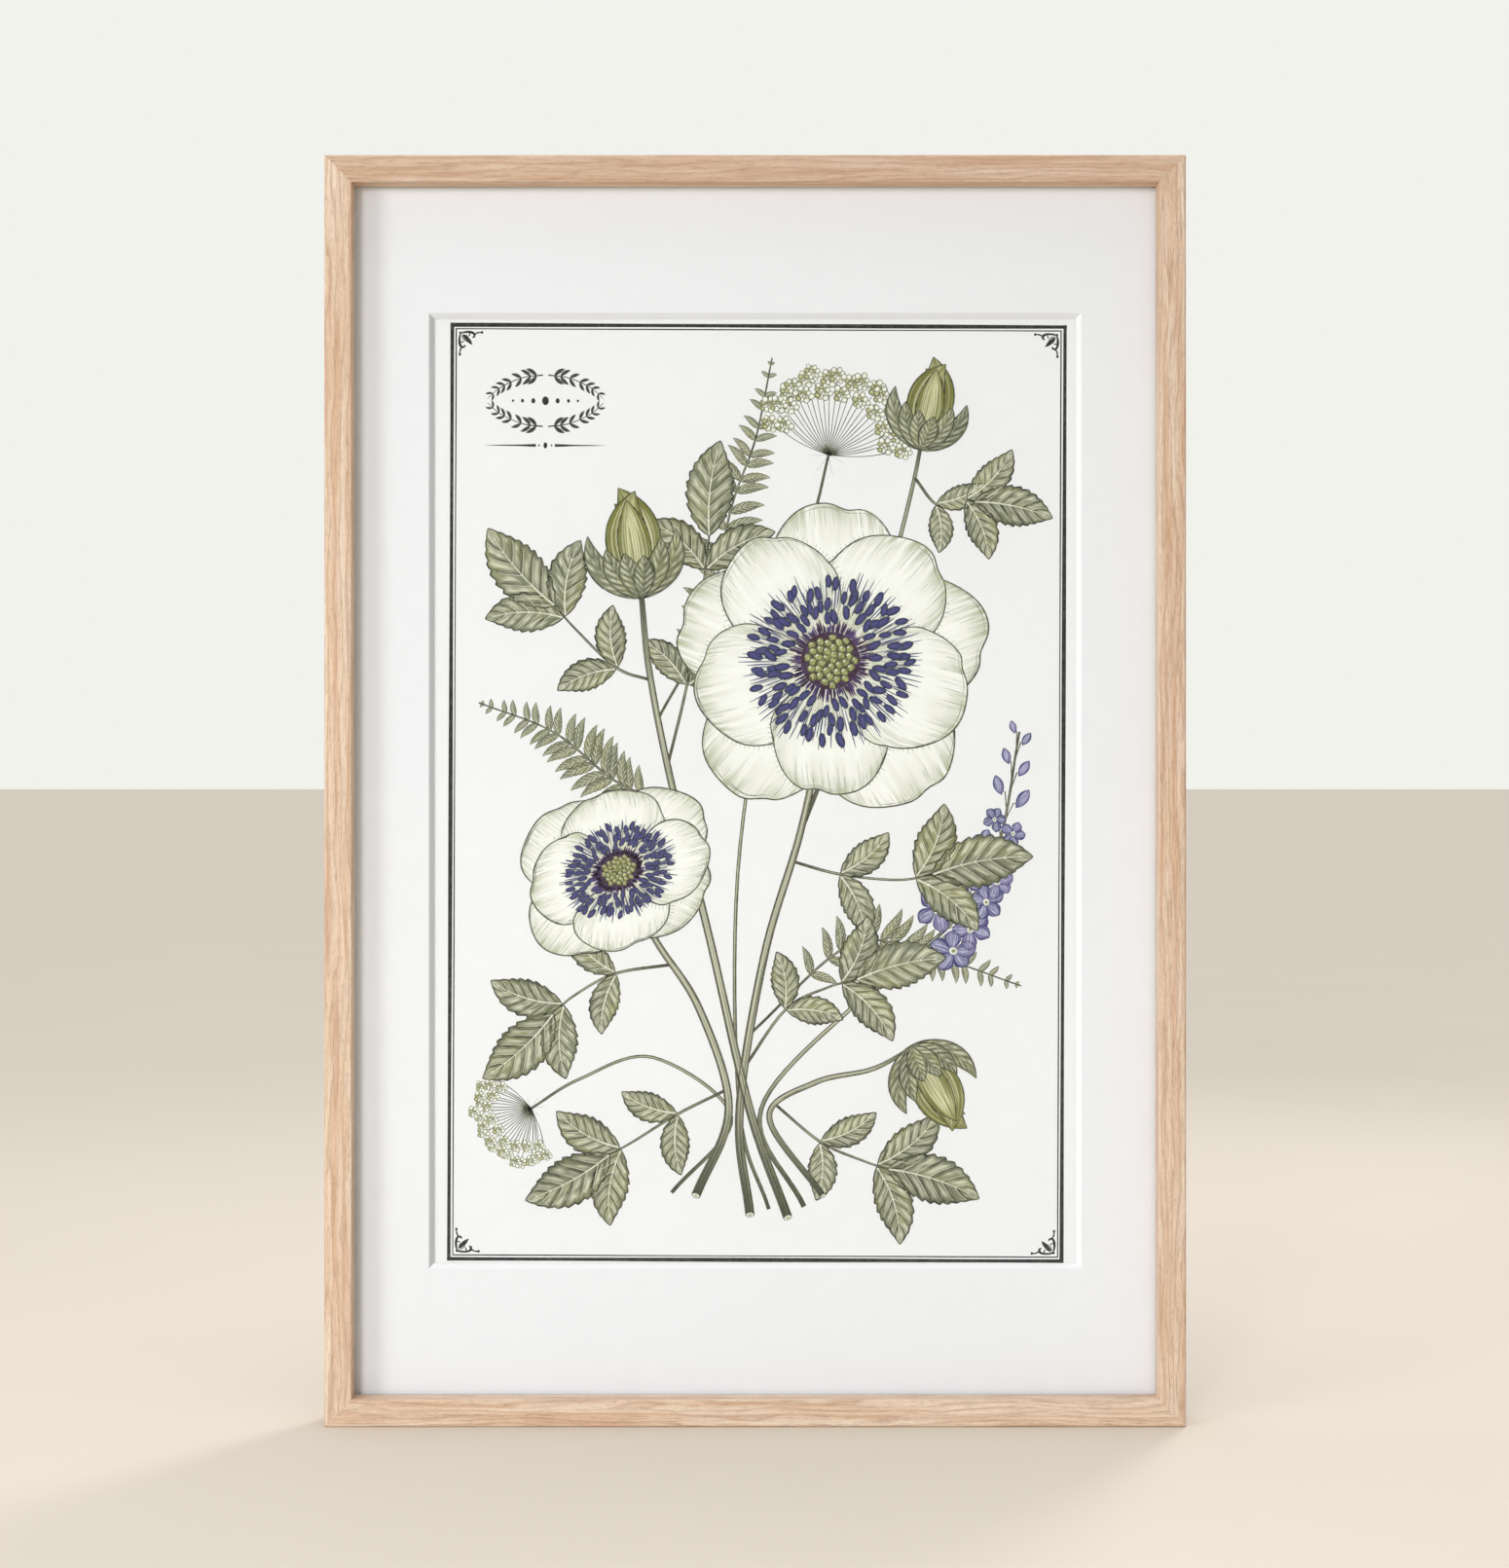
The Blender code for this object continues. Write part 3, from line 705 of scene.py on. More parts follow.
class FRAMEDPRINT_OT_boards(Operator):
    """Make the glazing, the window mat, the printed sheet and the boards behind it"""

    bl_idname = "framed_print.boards"
    bl_label = "Glazing, Mat and Boards"

    def execute(self, context):
        s = settings("mat")
        # the two darker copies of the core are painted shade for the bevel's left and top sides, as if lit
        # from the upper left
        cores = {"mat_core": 1, "mat_core_shaded": 0.66, "mat_core_toned": 0.86}
        card = [pulp("mat_card", s.card, 0.03)]
        card += [pulp(name, times(s.core, share), 0.02) for name, share in cores.items()]
        piece("window_mat", window_mat(), "mat_card", card, replaces=["mat_board"], smooth=20)

        low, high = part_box("art_print")
        low.y, high.y = PAPER, PAPER + 0.08 * MM
        paper = [pulp("art_paper", s.paper, 0.02)]
        piece("printed_sheet", block(low, high), "print_paper", paper, replaces=["art_print"], smooth=0)

        bm = block(*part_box("backing_board"))
        soften(bm, 0.4 * MM, 2)
        piece("hardboard_back", bm, "hardboard", [hardboard()], replaces=["backing_board"])
        repaint(acrylic(), "glazing_sheet")
        repaint(pulp("gummed_tape", linear("E6E0CF"), 0.03), "print_tape_left", "print_tape_right")
        repaint(pulp("foam_board_face", linear("F1F1EE"), 0.03), "mount_board")
        return {"FINISHED"}


# --- Fittings ---


def joint_of(child):
    """The place of the joint that a body turns on."""
    return Vector(next(joint["pos_m"] for joint in frame["joints"] if joint["child"] == child))


def clip_shape():
    """A pressed turn button pointing to +Z with its hole at the origin and its front at y = 0."""
    reach, big, tip, hole, steel = 20.0 * MM, 5.5 * MM, 3.5 * MM, 1.9 * MM, 1.2 * MM
    lean = math.asin((big - tip) / reach)
    from_big = Vector((big * math.cos(lean), big * math.sin(lean)))
    to_tip = Vector((tip * math.cos(lean), reach + tip * math.sin(lean)))
    run = to_tip - from_big
    round_from = math.pi / 2 + lean * 0.99 + 0.02  # where the straight side ends at the broad round

    def edge(a):
        """The outline's distance from the hole at an angle to either side of the tip: the broad round end, a
        straight side and the tip's own round."""
        if a > round_from:
            return big
        if a > math.atan2(to_tip.x, to_tip.y):
            cross = math.sin(a) * run.y - math.cos(a) * run.x
            return (from_big.x * run.y - from_big.y * run.x) / cross
        return reach * math.cos(a) + math.sqrt(max(0.0, tip**2 - (reach * math.sin(a)) ** 2))

    rings, spokes, crowding = 14, 72, 1.6  # crowding packs the spokes towards the tip
    bm = turned([(1 + i / rings, 0) for i in range(rings + 1)], spokes)
    for vert in bm.verts:
        share = Vector((vert.co.x, vert.co.z)).length - 1
        even_turn = math.atan2(vert.co.x, vert.co.z) / math.pi
        angle = math.copysign(abs(even_turn) ** crowding, even_turn) * math.pi
        radius = hole + (edge(abs(angle)) - hole) * share
        vert.co = (radius * math.sin(angle), 0, radius * math.cos(angle))
    top = bmesh.ops.extrude_face_region(bm, geom=bm.faces[:], use_keep_orig=True)["geom"]
    bmesh.ops.translate(bm, verts=[v for v in top if isinstance(v, bmesh.types.BMVert)], vec=(0, steel, 0))
    bmesh.ops.recalc_face_normals(bm, faces=bm.faces)
    soften(bm, 0.22 * MM, 3, 60)
    rib_start, rib_end, rib_half, rib_rise = 6.0 * MM, 20.5 * MM, 1.9 * MM, 0.55 * MM
    for vert in bm.verts:
        beyond = max(rib_start - vert.co.z, vert.co.z - rib_end, 0.0)
        away = min(1, math.hypot(vert.co.x, beyond) / rib_half)
        vert.co.y += rib_rise * (0.5 + 0.5 * math.cos(math.pi * away))
    return bm


def screw_shape():
    """A pan-head wood screw along Y with a cross recess: the head's underside is at y = 0."""
    head, height, shank, grip = 3.3 * MM, SCREW_HEAD, 1.5 * MM, 13.8 * MM
    profile = [(0, -grip), (shank * 0.35, 1.2 * MM - grip), (shank, 3.2 * MM - grip), (shank, 0)]
    profile += [(head * 0.97, 0), (head, height * 0.08)]
    for a in [math.radians(10 * i) for i in range(9)]:
        flat = 0.38 * min(1, (1.57 - a) / 0.37)  # narrows over the last of the crown
        profile.append((head * (0.62 * math.cos(a) + flat), height * (0.35 + 0.65 * math.sin(a))))

    narrow, wide, taper, depth = 0.36 * MM, 1.85 * MM, 0.55, 1.25 * MM  # of the recess
    cross = [(narrow, narrow), (narrow, wide), (-narrow, wide)]
    for _ in range(3):
        cross += [(-z, x) for x, z in cross[-3:]]
    cutter = bmesh.new()
    far = loft(cutter, [(x * taper, height - depth, z * taper) for x, z in cross], (0, 1.6 * MM, 0))
    bmesh.ops.scale(cutter, verts=far, vec=(1.05 / taper, 1, 1.05 / taper))
    bmesh.ops.recalc_face_normals(cutter, faces=cutter.faces)
    return cut_by(turned(profile + [(0, height)], 40), cutter)


class FRAMEDPRINT_OT_turn_buttons(Operator):
    """Make the swivelling clips that hold the backing in"""

    bl_idname = "framed_print.turn_buttons"
    bl_label = "Turn Buttons"

    def execute(self, context):
        for node, low, high in nodes_with("turn_button_"):
            body = node.replace("turn_button", "button")
            pivot = joint_of(body)
            lean = (low + high) / 2 - pivot
            bm = clip_shape()
            seat(bm, math.atan2(lean.x, lean.z), (pivot.x, low.y, pivot.z))
            piece("pressed_" + node, bm, "zinc_steel", [metal("zinc_plate")], body=body, replaces=[node])
        return {"FINISHED"}


class FRAMEDPRINT_OT_screws(Operator):
    """Make the wood screws of the clips and hangers"""

    bl_idname = "framed_print.screws"
    bl_label = "Screws"

    def execute(self, context):
        chance = random.Random(5)
        pattern = screw_shape()
        for node, low, high in nodes_with("_screw_"):
            bm = pattern.copy()
            middle = (low + high) / 2
            seat(bm, chance.uniform(0, math.pi), (middle.x, high.y - SCREW_HEAD, middle.z))
            piece("zinc_" + node, bm, "zinc_steel", [metal("zinc_plate")], replaces=[node])
        pattern.free()
        return {"FINISHED"}


def strap_shape(side, pivot, inner, steel):
    """A strap that curls round its ring's wire and ends in a rounded foot with two screw holes."""
    low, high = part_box("hanger_strap_" + side)
    foot = low.z - pivot.z
    outline = arc((0, 0), inner + steel, 180, -80, 28) + arc((0, 0), inner, -80, 180, 28)
    outline += [(-inner, foot), (-inner - steel, foot)]
    bm = bmesh.new()
    loft(bm, [(low.x, y, z) for y, z in outline], (high.x - low.x, 0, 0))
    corners = []
    for edge in bm.edges:
        a, b = [vert.co for vert in edge.verts]
        if max(a.z, b.z) < foot + 0.1 * MM and abs(a.y - b.y) > 0.1 * MM:
            corners.append(edge)
    bevel(bm, corners, 4.2 * MM, 8)
    bmesh.ops.translate(bm, verts=bm.verts, vec=(0, pivot.y, pivot.z))
    holes = bmesh.new()
    drill = {"cap_ends": True, "segments": 32, "radius1": 1.9 * MM, "radius2": 1.9 * MM, "depth": 4 * MM}
    for _, low, high in nodes_with("hanger_screw_" + side):
        place = Matrix.Translation((pivot.x, pivot.y - inner, (low.z + high.z) / 2))
        bmesh.ops.create_cone(holes, matrix=place @ Matrix.Rotation(math.pi / 2, 4, "X"), **drill)
    bm = cut_by(bm, holes)
    soften(bm, 0.15 * MM, 2, 50)
    return bm


def ring_shape(pivot, wire):
    """A D-ring of round wire that hangs from its pivot: its path is a flat top with a half circle below."""
    half, corner, drop, sides = 7 * MM, 2 * MM, 8 * MM, 20
    path = arc((half - corner, -corner), corner, 90, 0, 8)
    path += arc((0, -drop), half, 0, -180, 32)
    path += arc((corner - half, -corner), corner, 180, 90, 8)
    points = [Vector((pivot.x + x, pivot.y, pivot.z + z)) for x, z in path]
    bm = bmesh.new()
    loops = []
    for i, point in enumerate(points):
        along = (points[(i + 1) % len(points)] - points[i - 1]).normalized()
        outward = Vector((along.z, 0, -along.x))
        ring = []
        for out, y in arc((0, 0), wire, 0, 360, sides)[:-1]:
            ring.append(bm.verts.new(point + outward * out + Vector((0, y, 0))))
        loops.append([bm.edges.new((ring[k - 1], ring[k])) for k in range(sides)])
    for i, loop in enumerate(loops):
        bmesh.ops.bridge_loops(bm, edges=loops[i - 1] + loop)
    bmesh.ops.recalc_face_normals(bm, faces=bm.faces)
    return bm


class FRAMEDPRINT_OT_hangers(Operator):
    """Make the hanger straps and their D-rings"""

    bl_idname = "framed_print.hangers"
    bl_label = "Hangers"

    def execute(self, context):
        wire, steel, play = 1.25 * MM, 1.2 * MM, 0.3 * MM
        for side in ("left", "right"):
            strap, ring, body = "hanger_strap_" + side, "hanger_ring_" + side, "ring_" + side
            pivot, look = joint_of(body), ("nickel_steel", [metal("nickel_plate")])
            piece("nickel_" + strap, strap_shape(side, pivot, wire + play, steel), *look, replaces=[strap])
            piece("nickel_" + ring, ring_shape(pivot, wire), *look, body=body, replaces=[ring], smooth=60)
        return {"FINISHED"}


class FRAMEDPRINT_OT_bumpers(Operator):
    """Make the rubber wall bumpers"""

    bl_idname = "framed_print.bumpers"
    bl_label = "Wall Bumpers"

    def execute(self, context):
        material = rubber()
        for node, low, high in nodes_with("wall_bumper_"):
            radius, tall, rim = (high.x - low.x) / 2, high.y - low.y, 1.4 * MM
            edge = arc((radius * 0.9 - rim, tall - rim), rim, 0, 90, 8)
            foot = [(0, 0), (radius, 0), (radius, 0.5 * MM), (radius * 0.965, 0.9 * MM)]
            dish = [(radius * 0.45, tall), (radius * 0.36, tall - 0.35 * MM), (0, tall - 0.45 * MM)]
            bm = turned(foot + edge + dish, 56)
            middle = (low + high) / 2
            seat(bm, 0, (middle.x, low.y, middle.z))
            piece("rubber_" + node, bm, "bumper_rubber", [material], replaces=[node])
        return {"FINISHED"}


# --- Drawing the print ---

LEVEL = 0.02 * MM  # height of one level of film above the one before
PRINT_SHIFT = Vector((1.3, -1.6))  # the drawing's middle from the sheet's
GOLDEN_TURN = 2.39996  # radians from one seed of a flower's head to the next

# Levels of film, from the paper up
STALKS_BEHIND, LEAVES_BEHIND, STALKS, LEAVES, BLOSSOM = 1.0, 2.2, 4.8, 6.0, 8.8


def even(count):
    """count + 1 places from 0 to 1."""
    return [i / count for i in range(count + 1)]


def facing(angle):
    """The unit vector at an angle."""
    return Vector((math.cos(angle), math.sin(angle)))


def left_of(vector):
    return Vector((-vector.y, vector.x))


def smooth_path(points, count):
    """count + 1 points along a smooth curve through a few chosen ones."""
    points = [Vector(p) for p in points]
    ends = [2 * points[0] - points[1], *points, 2 * points[-1] - points[-2]]
    runs = len(points) - 1
    path = []
    for i in range(count + 1):
        k = min(int(i / count * runs), runs - 1)
        t = i / count * runs - k
        a, b, c, d = ends[k : k + 4]
        curve = (2 * a - 5 * b + 4 * c - d) * t**2 + (3 * b - a - 3 * c + d) * t**3
        path.append(0.5 * (2 * b + (c - a) * t + curve))
    return path


def sides_of(path):
    """The unit vector to the left of each point of a path."""
    sides = []
    for i in range(len(path)):
        along = path[min(i + 1, len(path) - 1)] - path[max(i - 1, 0)]
        sides.append(left_of(along.normalized() if along.length else Vector((1, 0))))
    return sides


class Motif:
    """One printed motif: washes and lines, each a film of colour at its own level above the paper."""

    def __init__(self, seed):
        self.films = {film: bmesh.new() for film in FILMS}
        self.washes = {film: bm.loops.layers.uv.new("wash") for film, bm in self.films.items()}
        self.tones = {film: bm.verts.layers.float.new("tone") for film, bm in self.films.items()}
        self.chance = random.Random(seed)
        self.vary = self.chance.uniform
        self.turn = Matrix.Rotation(-settings("mat").turn, 2)

    def patch(self, rows, columns, where, level, finish, tone=0.5):
        """A film. where(u, v) is its place, with u from 0 to 1 along it and v from -1 to 1 across it."""
        film = next(film for film, finishes in FILMS.items() if finish in finishes)
        bm = self.films[film]
        made = bmesh.ops.create_grid(bm, x_segments=rows, y_segments=columns, size=1)["verts"]
        spots = {}
        for vert in made:
            u, v = round((vert.co.x + 1) / 2 * rows) / rows, vert.co.y
            spots[vert] = (u, (v + 1) / 2)
            x, z = self.turn @ (Vector(where(u, v)) + PRINT_SHIFT)
            vert.co = (x * MM, PAPER - level * LEVEL, MIDDLE + z * MM)
            vert[self.tones[film]] = tone
        for face in {face for vert in made for face in vert.link_faces}:
            face.material_index = FILMS[film].index(finish)
            for loop in face.loops:
                loop[self.washes[film]].uv = spots[loop.vert]

    def line(self, path, width, level, finish="ink", tone=0.8, taper=0.8, root=None):
        """A drawn line that thins towards its ends by the taper, or goes from the width root to width."""
        sides = sides_of(path)
        count = len(path) - 1
        waver = self.vary(0, 6)

        def where(u, v):
            i = round(u * count)
            wide = width * (1 - taper * abs(2 * u - 1) ** 3) if root is None else root + (width - root) * u
            return path[i] + sides[i] * (v * wide * (1 + 0.12 * math.sin(waver + 9 * u)) / 2)

        self.patch(count, 1, where, level, finish, tone)

    def stroke(self, where, v, start, end, steps, *drawn, **options):
        """A line along a shape at v, from u = start to u = end."""
        self.line([where(start + (end - start) * u, v) for u in even(steps)], *drawn, **options)

    def shape(self, rows, columns, where, level, finish, tone, width, lift, ink="ink", shade=1, taper=0.3):
        """A film with lines of that width along both its edges, which lie higher by the lift."""
        self.patch(rows, columns, where, level, finish, tone)
        for side in (-1, 1):
            self.stroke(where, side, 0, 1, rows, width, level + lift, ink, shade, taper)

    def dot(self, at, length, width, angle, level, finish, tone=0.5, rows=3):
        """An oval, turned by an angle."""
        along = facing(angle) * length / 2
        side = left_of(facing(angle)) * width / 2

        def where(u, v):
            a = 2 * u - 1
            return at + along * (a * math.sqrt(1 - v * v / 2)) + side * (v * math.sqrt(1 - a * a / 2))

        self.patch(rows, rows, where, level, finish, tone)

    def done(self, name):
        """Makes the motif's pieces, one for each kind of film that it has."""
        for film, bm in self.films.items():
            if not bm.faces:
                bm.free()
                continue
            bm.normal_update()
            bmesh.ops.reverse_faces(bm, faces=[face for face in bm.faces if face.normal.y > 0])
            ending = "wash" if film == "wash" else "line"
            finishes = [bpy.data.materials[f"{finish}_{ending}"] for finish in FILMS[film]]
            piece(f"{name}_{film}", bm, "print_paper", finishes, smooth=0)


def print_motifs(drawings):
    """Prints motifs, each given as name: (seed, what draws it, what that takes)."""
    for name, (seed, draw, *rest) in drawings.items():
        motif = Motif(seed)
        draw(motif, *rest)
        motif.done("printed_" + name)


def leaf_map(base, tip, width, bend, teeth=0, fullness=0.8):
    """where(u, v) of a leaf from its base to its tip, with a saw edge of so many teeth."""
    base, tip = Vector(base), Vector(tip)
    span = tip - base
    side = left_of(span)

    def where(u, v):
        rib = base + span * u + side * (bend * 4 * u * (1 - u))
        along = span + side * (bend * 4 * (1 - 2 * u))
        half = width / 2 * max(0.0, math.sin(math.pi * u**fullness)) ** 0.9
        if teeth and abs(v) > 0.99:
            half *= 1.02 + 0.17 * ((u * teeth) % 1 - 0.4)
        forward = span * (0.06 * abs(v) * math.sin(math.pi * u))
        return rib + forward + left_of(along).normalized() * (half * v)

    return where


def leaf(motif, base, tip, width, level, bend, teeth):
    """A toothed leaf with light veins, hatching and an ink outline."""
    vary = motif.vary
    where = leaf_map(base, tip, width, bend, teeth)

    def beside(i, v, last):
        """The place v across, along the side vein i, and no nearer the tip than last."""
        return where(min(last, (i + VEIN_SWEEP * abs(v)) / VEINS), v)

    motif.shape(teeth * 4, 4, where, level, "leaf", vary(0, 1), 1.1, 0.5)
    for side in (-1, 1):
        for i in range(1, VEINS):
            vein = [beside(i, side * 0.88 * u, 0.99) for u in even(5)]
            motif.line(vein, 0.3, level + 0.4, "vein", 0.8, root=0.62)
        for _ in range(int(width * 1.3)):
            i = motif.chance.randrange(0, VEINS) + vary(0.05, 0.45)
            first, run = vary(0.04, 0.6), vary(0.2, 0.4)
            hatch = [beside(i, side * min(0.93, first + run * u), 0.98) for u in even(3)]
            motif.line(hatch, 0.38, level + 0.3, "ink", vary(0.45, 0.95))
    motif.stroke(where, 0, 0, 0.97, 16, 0.4, level + 0.45, "vein", 1, root=1.3)


def stem(motif, points, level, base_width, tip_width, count=36):
    """A round stalk, shaded along one side, from its cut end to its tip. Returns its path and its sides."""
    path = smooth_path(points, count)
    sides = sides_of(path)

    def where(u, v):
        i = round(u * count)
        return path[i] + sides[i] * (v * (base_width + (tip_width - base_width) * u) / 2)

    motif.shape(count, 4, where, level, "stem", 0.5, 0.62, 0.5, "ink", 0.95, 0.2)
    for _ in range(count // 2):
        first = motif.chance.randrange(0, count - 5)
        side = motif.vary(-0.75, -0.1)
        motif.stroke(where, side, first / count, (first + 4) / count, 4, 0.32, level + 0.4, "ink", 0.6)
    return path, sides


def spray(motif, points, level, size):
    """A feathered leaf: two pairs of leaflets along a stalk and one at its tip."""
    vary = motif.vary
    steps, narrow = 18, 0.46  # narrow is a leaflet's width over its length
    path, sides = stem(motif, points, min(level, STALKS - 1.2), 1.8, 0.9, steps)
    level += 0.55
    for share, long in ((0.36, size * 0.74), (0.86, size * 0.94)):
        i = round(share * steps)
        along = -left_of(sides[i])
        for side in (-1, 1):
            level += 0.16
            lean = math.radians(vary(48, 64))
            way = along * math.cos(lean) + sides[i] * (side * math.sin(lean))
            base = path[i] + sides[i] * side
            tip = base + way * long * vary(0.94, 1.06)
            leaf(motif, base, tip, long * narrow, level, -side * 0.08, 8)
    tip = path[-1] - left_of(sides[-1]) * size * 1.18
    leaf(motif, path[-1], tip, size * narrow * 1.22, level + 0.2, 0.05, 10)


def frond(motif, points):
    """A fern frond: narrow pinnae in pairs that shorten towards the tip."""
    pairs, steps, level = 17, 51, STALKS_BEHIND - 0.5
    path, sides = stem(motif, points, level + 0.9, 1.6, 0.6, steps)
    for pair in range(pairs):
        share = pair / (pairs - 1)
        i = round((0.2 + 0.79 * share) * steps)
        long = 34 * (1 - share) ** 0.8 * min(1, 0.55 + 1.6 * share) + 3
        for side in (-1, 1):
            way = sides[i] * side - left_of(sides[i]) * 0.5
            tip = path[i] + way.normalized() * long
            where = leaf_map(path[i], tip, long * 0.24 + 1.2, -side * 0.07, 7, 0.62)
            lift = level + 0.04 * pair + (0.02 if side > 0 else 0)
            motif.shape(21, 2, where, lift, "leaf", motif.vary(0, 0.5), 0.45, 0.08, "ink", 0.85)
            motif.stroke(where, 0, 0, 1, 6, 0.2, lift + 0.1, "vein", 0.8, root=0.45)


def petal(motif, place, angle, inner, length, width, level, shadow):
    """A broad round-ended petal of an open flower. place maps the flower's own flat plane to the sheet. Out
    to the distance shadow from the flower's middle, a hatched shadow lies beside the petal."""
    vary = motif.vary
    out = facing(angle)
    side = left_of(out)
    tone = vary(0, 1)
    frill, bow, notch = vary(0, 6), vary(-0.06, 0.06), vary(-0.5, 0.5)
    crown = 0.46  # share of the length that the rounded end takes up

    def where(u, v):
        swing = v * math.pi / 2
        half = width / 2 * math.sin(swing) * (0.20 + 0.80 * math.sin(u * 1.75) ** 1.2)
        reach = length * u * (1 - crown + crown * math.cos(swing))
        dent = 0.035 * math.exp(-(((v - notch) / 0.12) ** 2))
        reach += length * u**3 * (0.012 * math.sin(7 * v + frill) - dent)
        return place(out * (inner + reach) + side * (half + bow * width * math.sin(math.pi * u)))

    motif.patch(16, 22, where, level, "petal", tone)
    rim = [where(1, v / 20 - 1) for v in range(1, 40)]
    edge = [where(u, -1) for u in even(14)] + rim + [where(1 - u, 1) for u in even(14)]
    motif.line(edge, 0.95, level + 0.2, tone=0.95, taper=0.1)
    for _ in range(4):
        first, inset = motif.chance.randrange(4, 34), vary(0.012, 0.03)
        run = [(1 - inset - 0.002 * abs(k - 5), (first + k) / 20 - 1) for k in range(min(10, 40 - first))]
        motif.line([where(u, v) for u, v in run], 0.5, level + 0.15, "streak", 0.8)
    for i in range(26):
        v = -0.94 + 1.88 * i / 25 + vary(-0.03, 0.03)
        motif.stroke(where, v, 0.12, vary(0.34, 0.72), 5, 0.42, level + 0.12, "streak", vary(0.3, 0.85))
    for i in range(34):
        v = -0.97 + 1.94 * i / 33 + vary(-0.02, 0.02)
        motif.stroke(where, v, 0.985, vary(0.925, 0.725), 4, 0.42, level + 0.12, "streak", vary(0.25, 0.8))
    middle, belly = place(Vector((0, 0))), place(out * (inner + length * 0.45))
    for spot in edge[8:-8]:
        if (spot - middle).length < shadow:
            away = (spot - belly).normalized() * vary(2.2, 4.8)
            motif.line([spot + away * u for u in even(3)], 0.5, level - 0.05, "streak", vary(0.35, 0.7))


def anemone(motif, centre, radius, turn, squash, lean, petals):
    """An open anemone: squash is its height over its width and lean its tilt."""
    centre = Vector(centre)
    tilt = Matrix.Rotation(lean, 2)

    def place(point):
        return centre + tilt @ Vector((point.x, point.y * squash))

    half = petals // 2
    for ring, (share, level) in enumerate(((1.0, BLOSSOM), (0.88, BLOSSOM + 2.4))):
        for k in range(half):
            angle = turn + 2 * math.pi * (k + 0.5 * ring) / half + motif.vary(-0.06, 0.06)
            wide = radius * share * 4.1 / half * motif.vary(0.94, 1.06)
            long = radius * share * motif.vary(0.86, 0.95)
            shadow = radius * 0.78 * squash * ring
            petal(motif, place, angle, radius * 0.05, long, wide, level + 0.4 * k, shadow)
    heart(motif, place, radius, BLOSSOM + 5.4)


def heart(motif, place, radius, level):
    """The middle of an anemone: a violet blush, rings of stamens, a dark ring and a boss of green carpels."""
    vary = motif.vary

    def rays(count, near, far, width, height, finish, spread=0.06):
        """Strokes out from the middle, which start and end at about these shares of the radius."""
        for i in range(count):
            out = facing(2 * math.pi * (i + vary(-0.4, 0.4)) / count) * radius
            start, end = near + vary(-0.5, 0.5) * spread, far + vary(-1, 1) * spread
            path = [place(out * (start + (end - start) * u)) for u in even(5)]
            motif.line(path, width, height, finish, vary(0.4, 1), taper=0.6)

    rays(130, 0.30, 0.50, 0.9, level, "violet")
    rays(70, 0.26, 0.44, 0.8, level + 0.1, "streak")
    for ring, (reach, count) in enumerate(((0.44, 46), (0.36, 38), (0.28, 28))):
        for i in range(count):
            out = facing(2 * math.pi * (i + vary(-0.35, 0.35)) / count) * radius
            start, end = place(out * 0.15), place(out * reach * vary(0.92, 1.1))
            bow = left_of(end - start) * vary(-0.08, 0.08)
            path = smooth_path([start, (start + end) / 2 + bow, end], 6)
            height = level + 0.5 + ring * 0.9 + 0.02 * (i % 9)
            motif.line(path, 1.1, height, "vein", 1, taper=0.2)
            last = path[-1] - path[-2]
            way = math.atan2(last.y, last.x) + vary(-0.4, 0.4)
            size = radius * vary(0.070, 0.092)
            motif.dot(end, size * 1.12, size * 0.56, way, height + 0.3, "ink", 1)
            motif.dot(end, size, size * 0.42, way, height + 0.4, "stamen", vary(0, 1))
    rays(120, 0.16, 0.235, 1.3, level + 3.1, "maroon", 0.03)

    def boss(u, v):
        return place(facing(2 * math.pi * u) * (radius * 0.175 * (v + 1) / 2))

    motif.patch(32, 3, boss, level + 3.2, "maroon", 1)
    for i in range(38):
        size = radius * (0.062 - 0.012 * i / 38)
        at = place(facing(i * GOLDEN_TURN) * (radius * 0.0245 * math.sqrt(i + 0.4)))
        height = level + 3.4 + 0.03 * i
        motif.dot(at, size, size * 0.9, i, height, "heart", vary(0, 1), 4)
        shine = at + Vector((-0.14, 0.16)) * size
        motif.dot(shine, size * 0.36, size * 0.22, 0.7, height + 0.01, "vein", 1, 2)


def sepal(motif, base, tip, width, level, bend, finish, streaks):
    """A smooth pointed bract or bud petal with long pencil streaks."""
    vary = motif.vary
    where = leaf_map(base, tip, width, bend, 0, 0.9)
    motif.shape(16, 6, where, level, finish, vary(0, 1), 0.85, 0.3)
    for i in range(streaks):
        v = -0.8 + 1.6 * i / (streaks - 1)
        start, end = vary(0.04, 0.3), vary(0.5, 0.95)
        motif.stroke(where, v, start, end, 6, 0.4, level + 0.2, "ink", vary(0.35, 0.9))


def bud(motif, base, tip):
    """A plump bud: overlapping petals held by a ruff of green bracts."""
    base, tip = Vector(base), Vector(tip)
    span = tip - base
    side = left_of(span)
    petals = (  # how far out, width, length
        (0.36, 0.34, 0.86), (-0.37, 0.34, 0.84), (0.20, 0.40, 1.0), (-0.22, 0.40, 0.95), (0.03, 0.30, 0.88),
    )
    for k, (out, wide, long) in enumerate(petals):
        start, end = base + side * out * 0.2, base + span * long + side * out * 0.35
        sepal(motif, start, end, span.length * wide, BLOSSOM + 0.6 * k, -out * 0.55, "bud", 11)
    ruff = ((0.66, 0.60), (-0.64, 0.56), (0.42, 0.46), (-0.40, 0.50), (0.16, 0.40), (-0.12, 0.36))
    for k, (out, long) in enumerate(ruff):
        start, end = base - span * 0.03, base + span * long + side * out * 0.62
        sepal(motif, start, end, span.length * 0.2, BLOSSOM + 3.4 + 0.45 * k, out * 0.24, "leaf", 5)


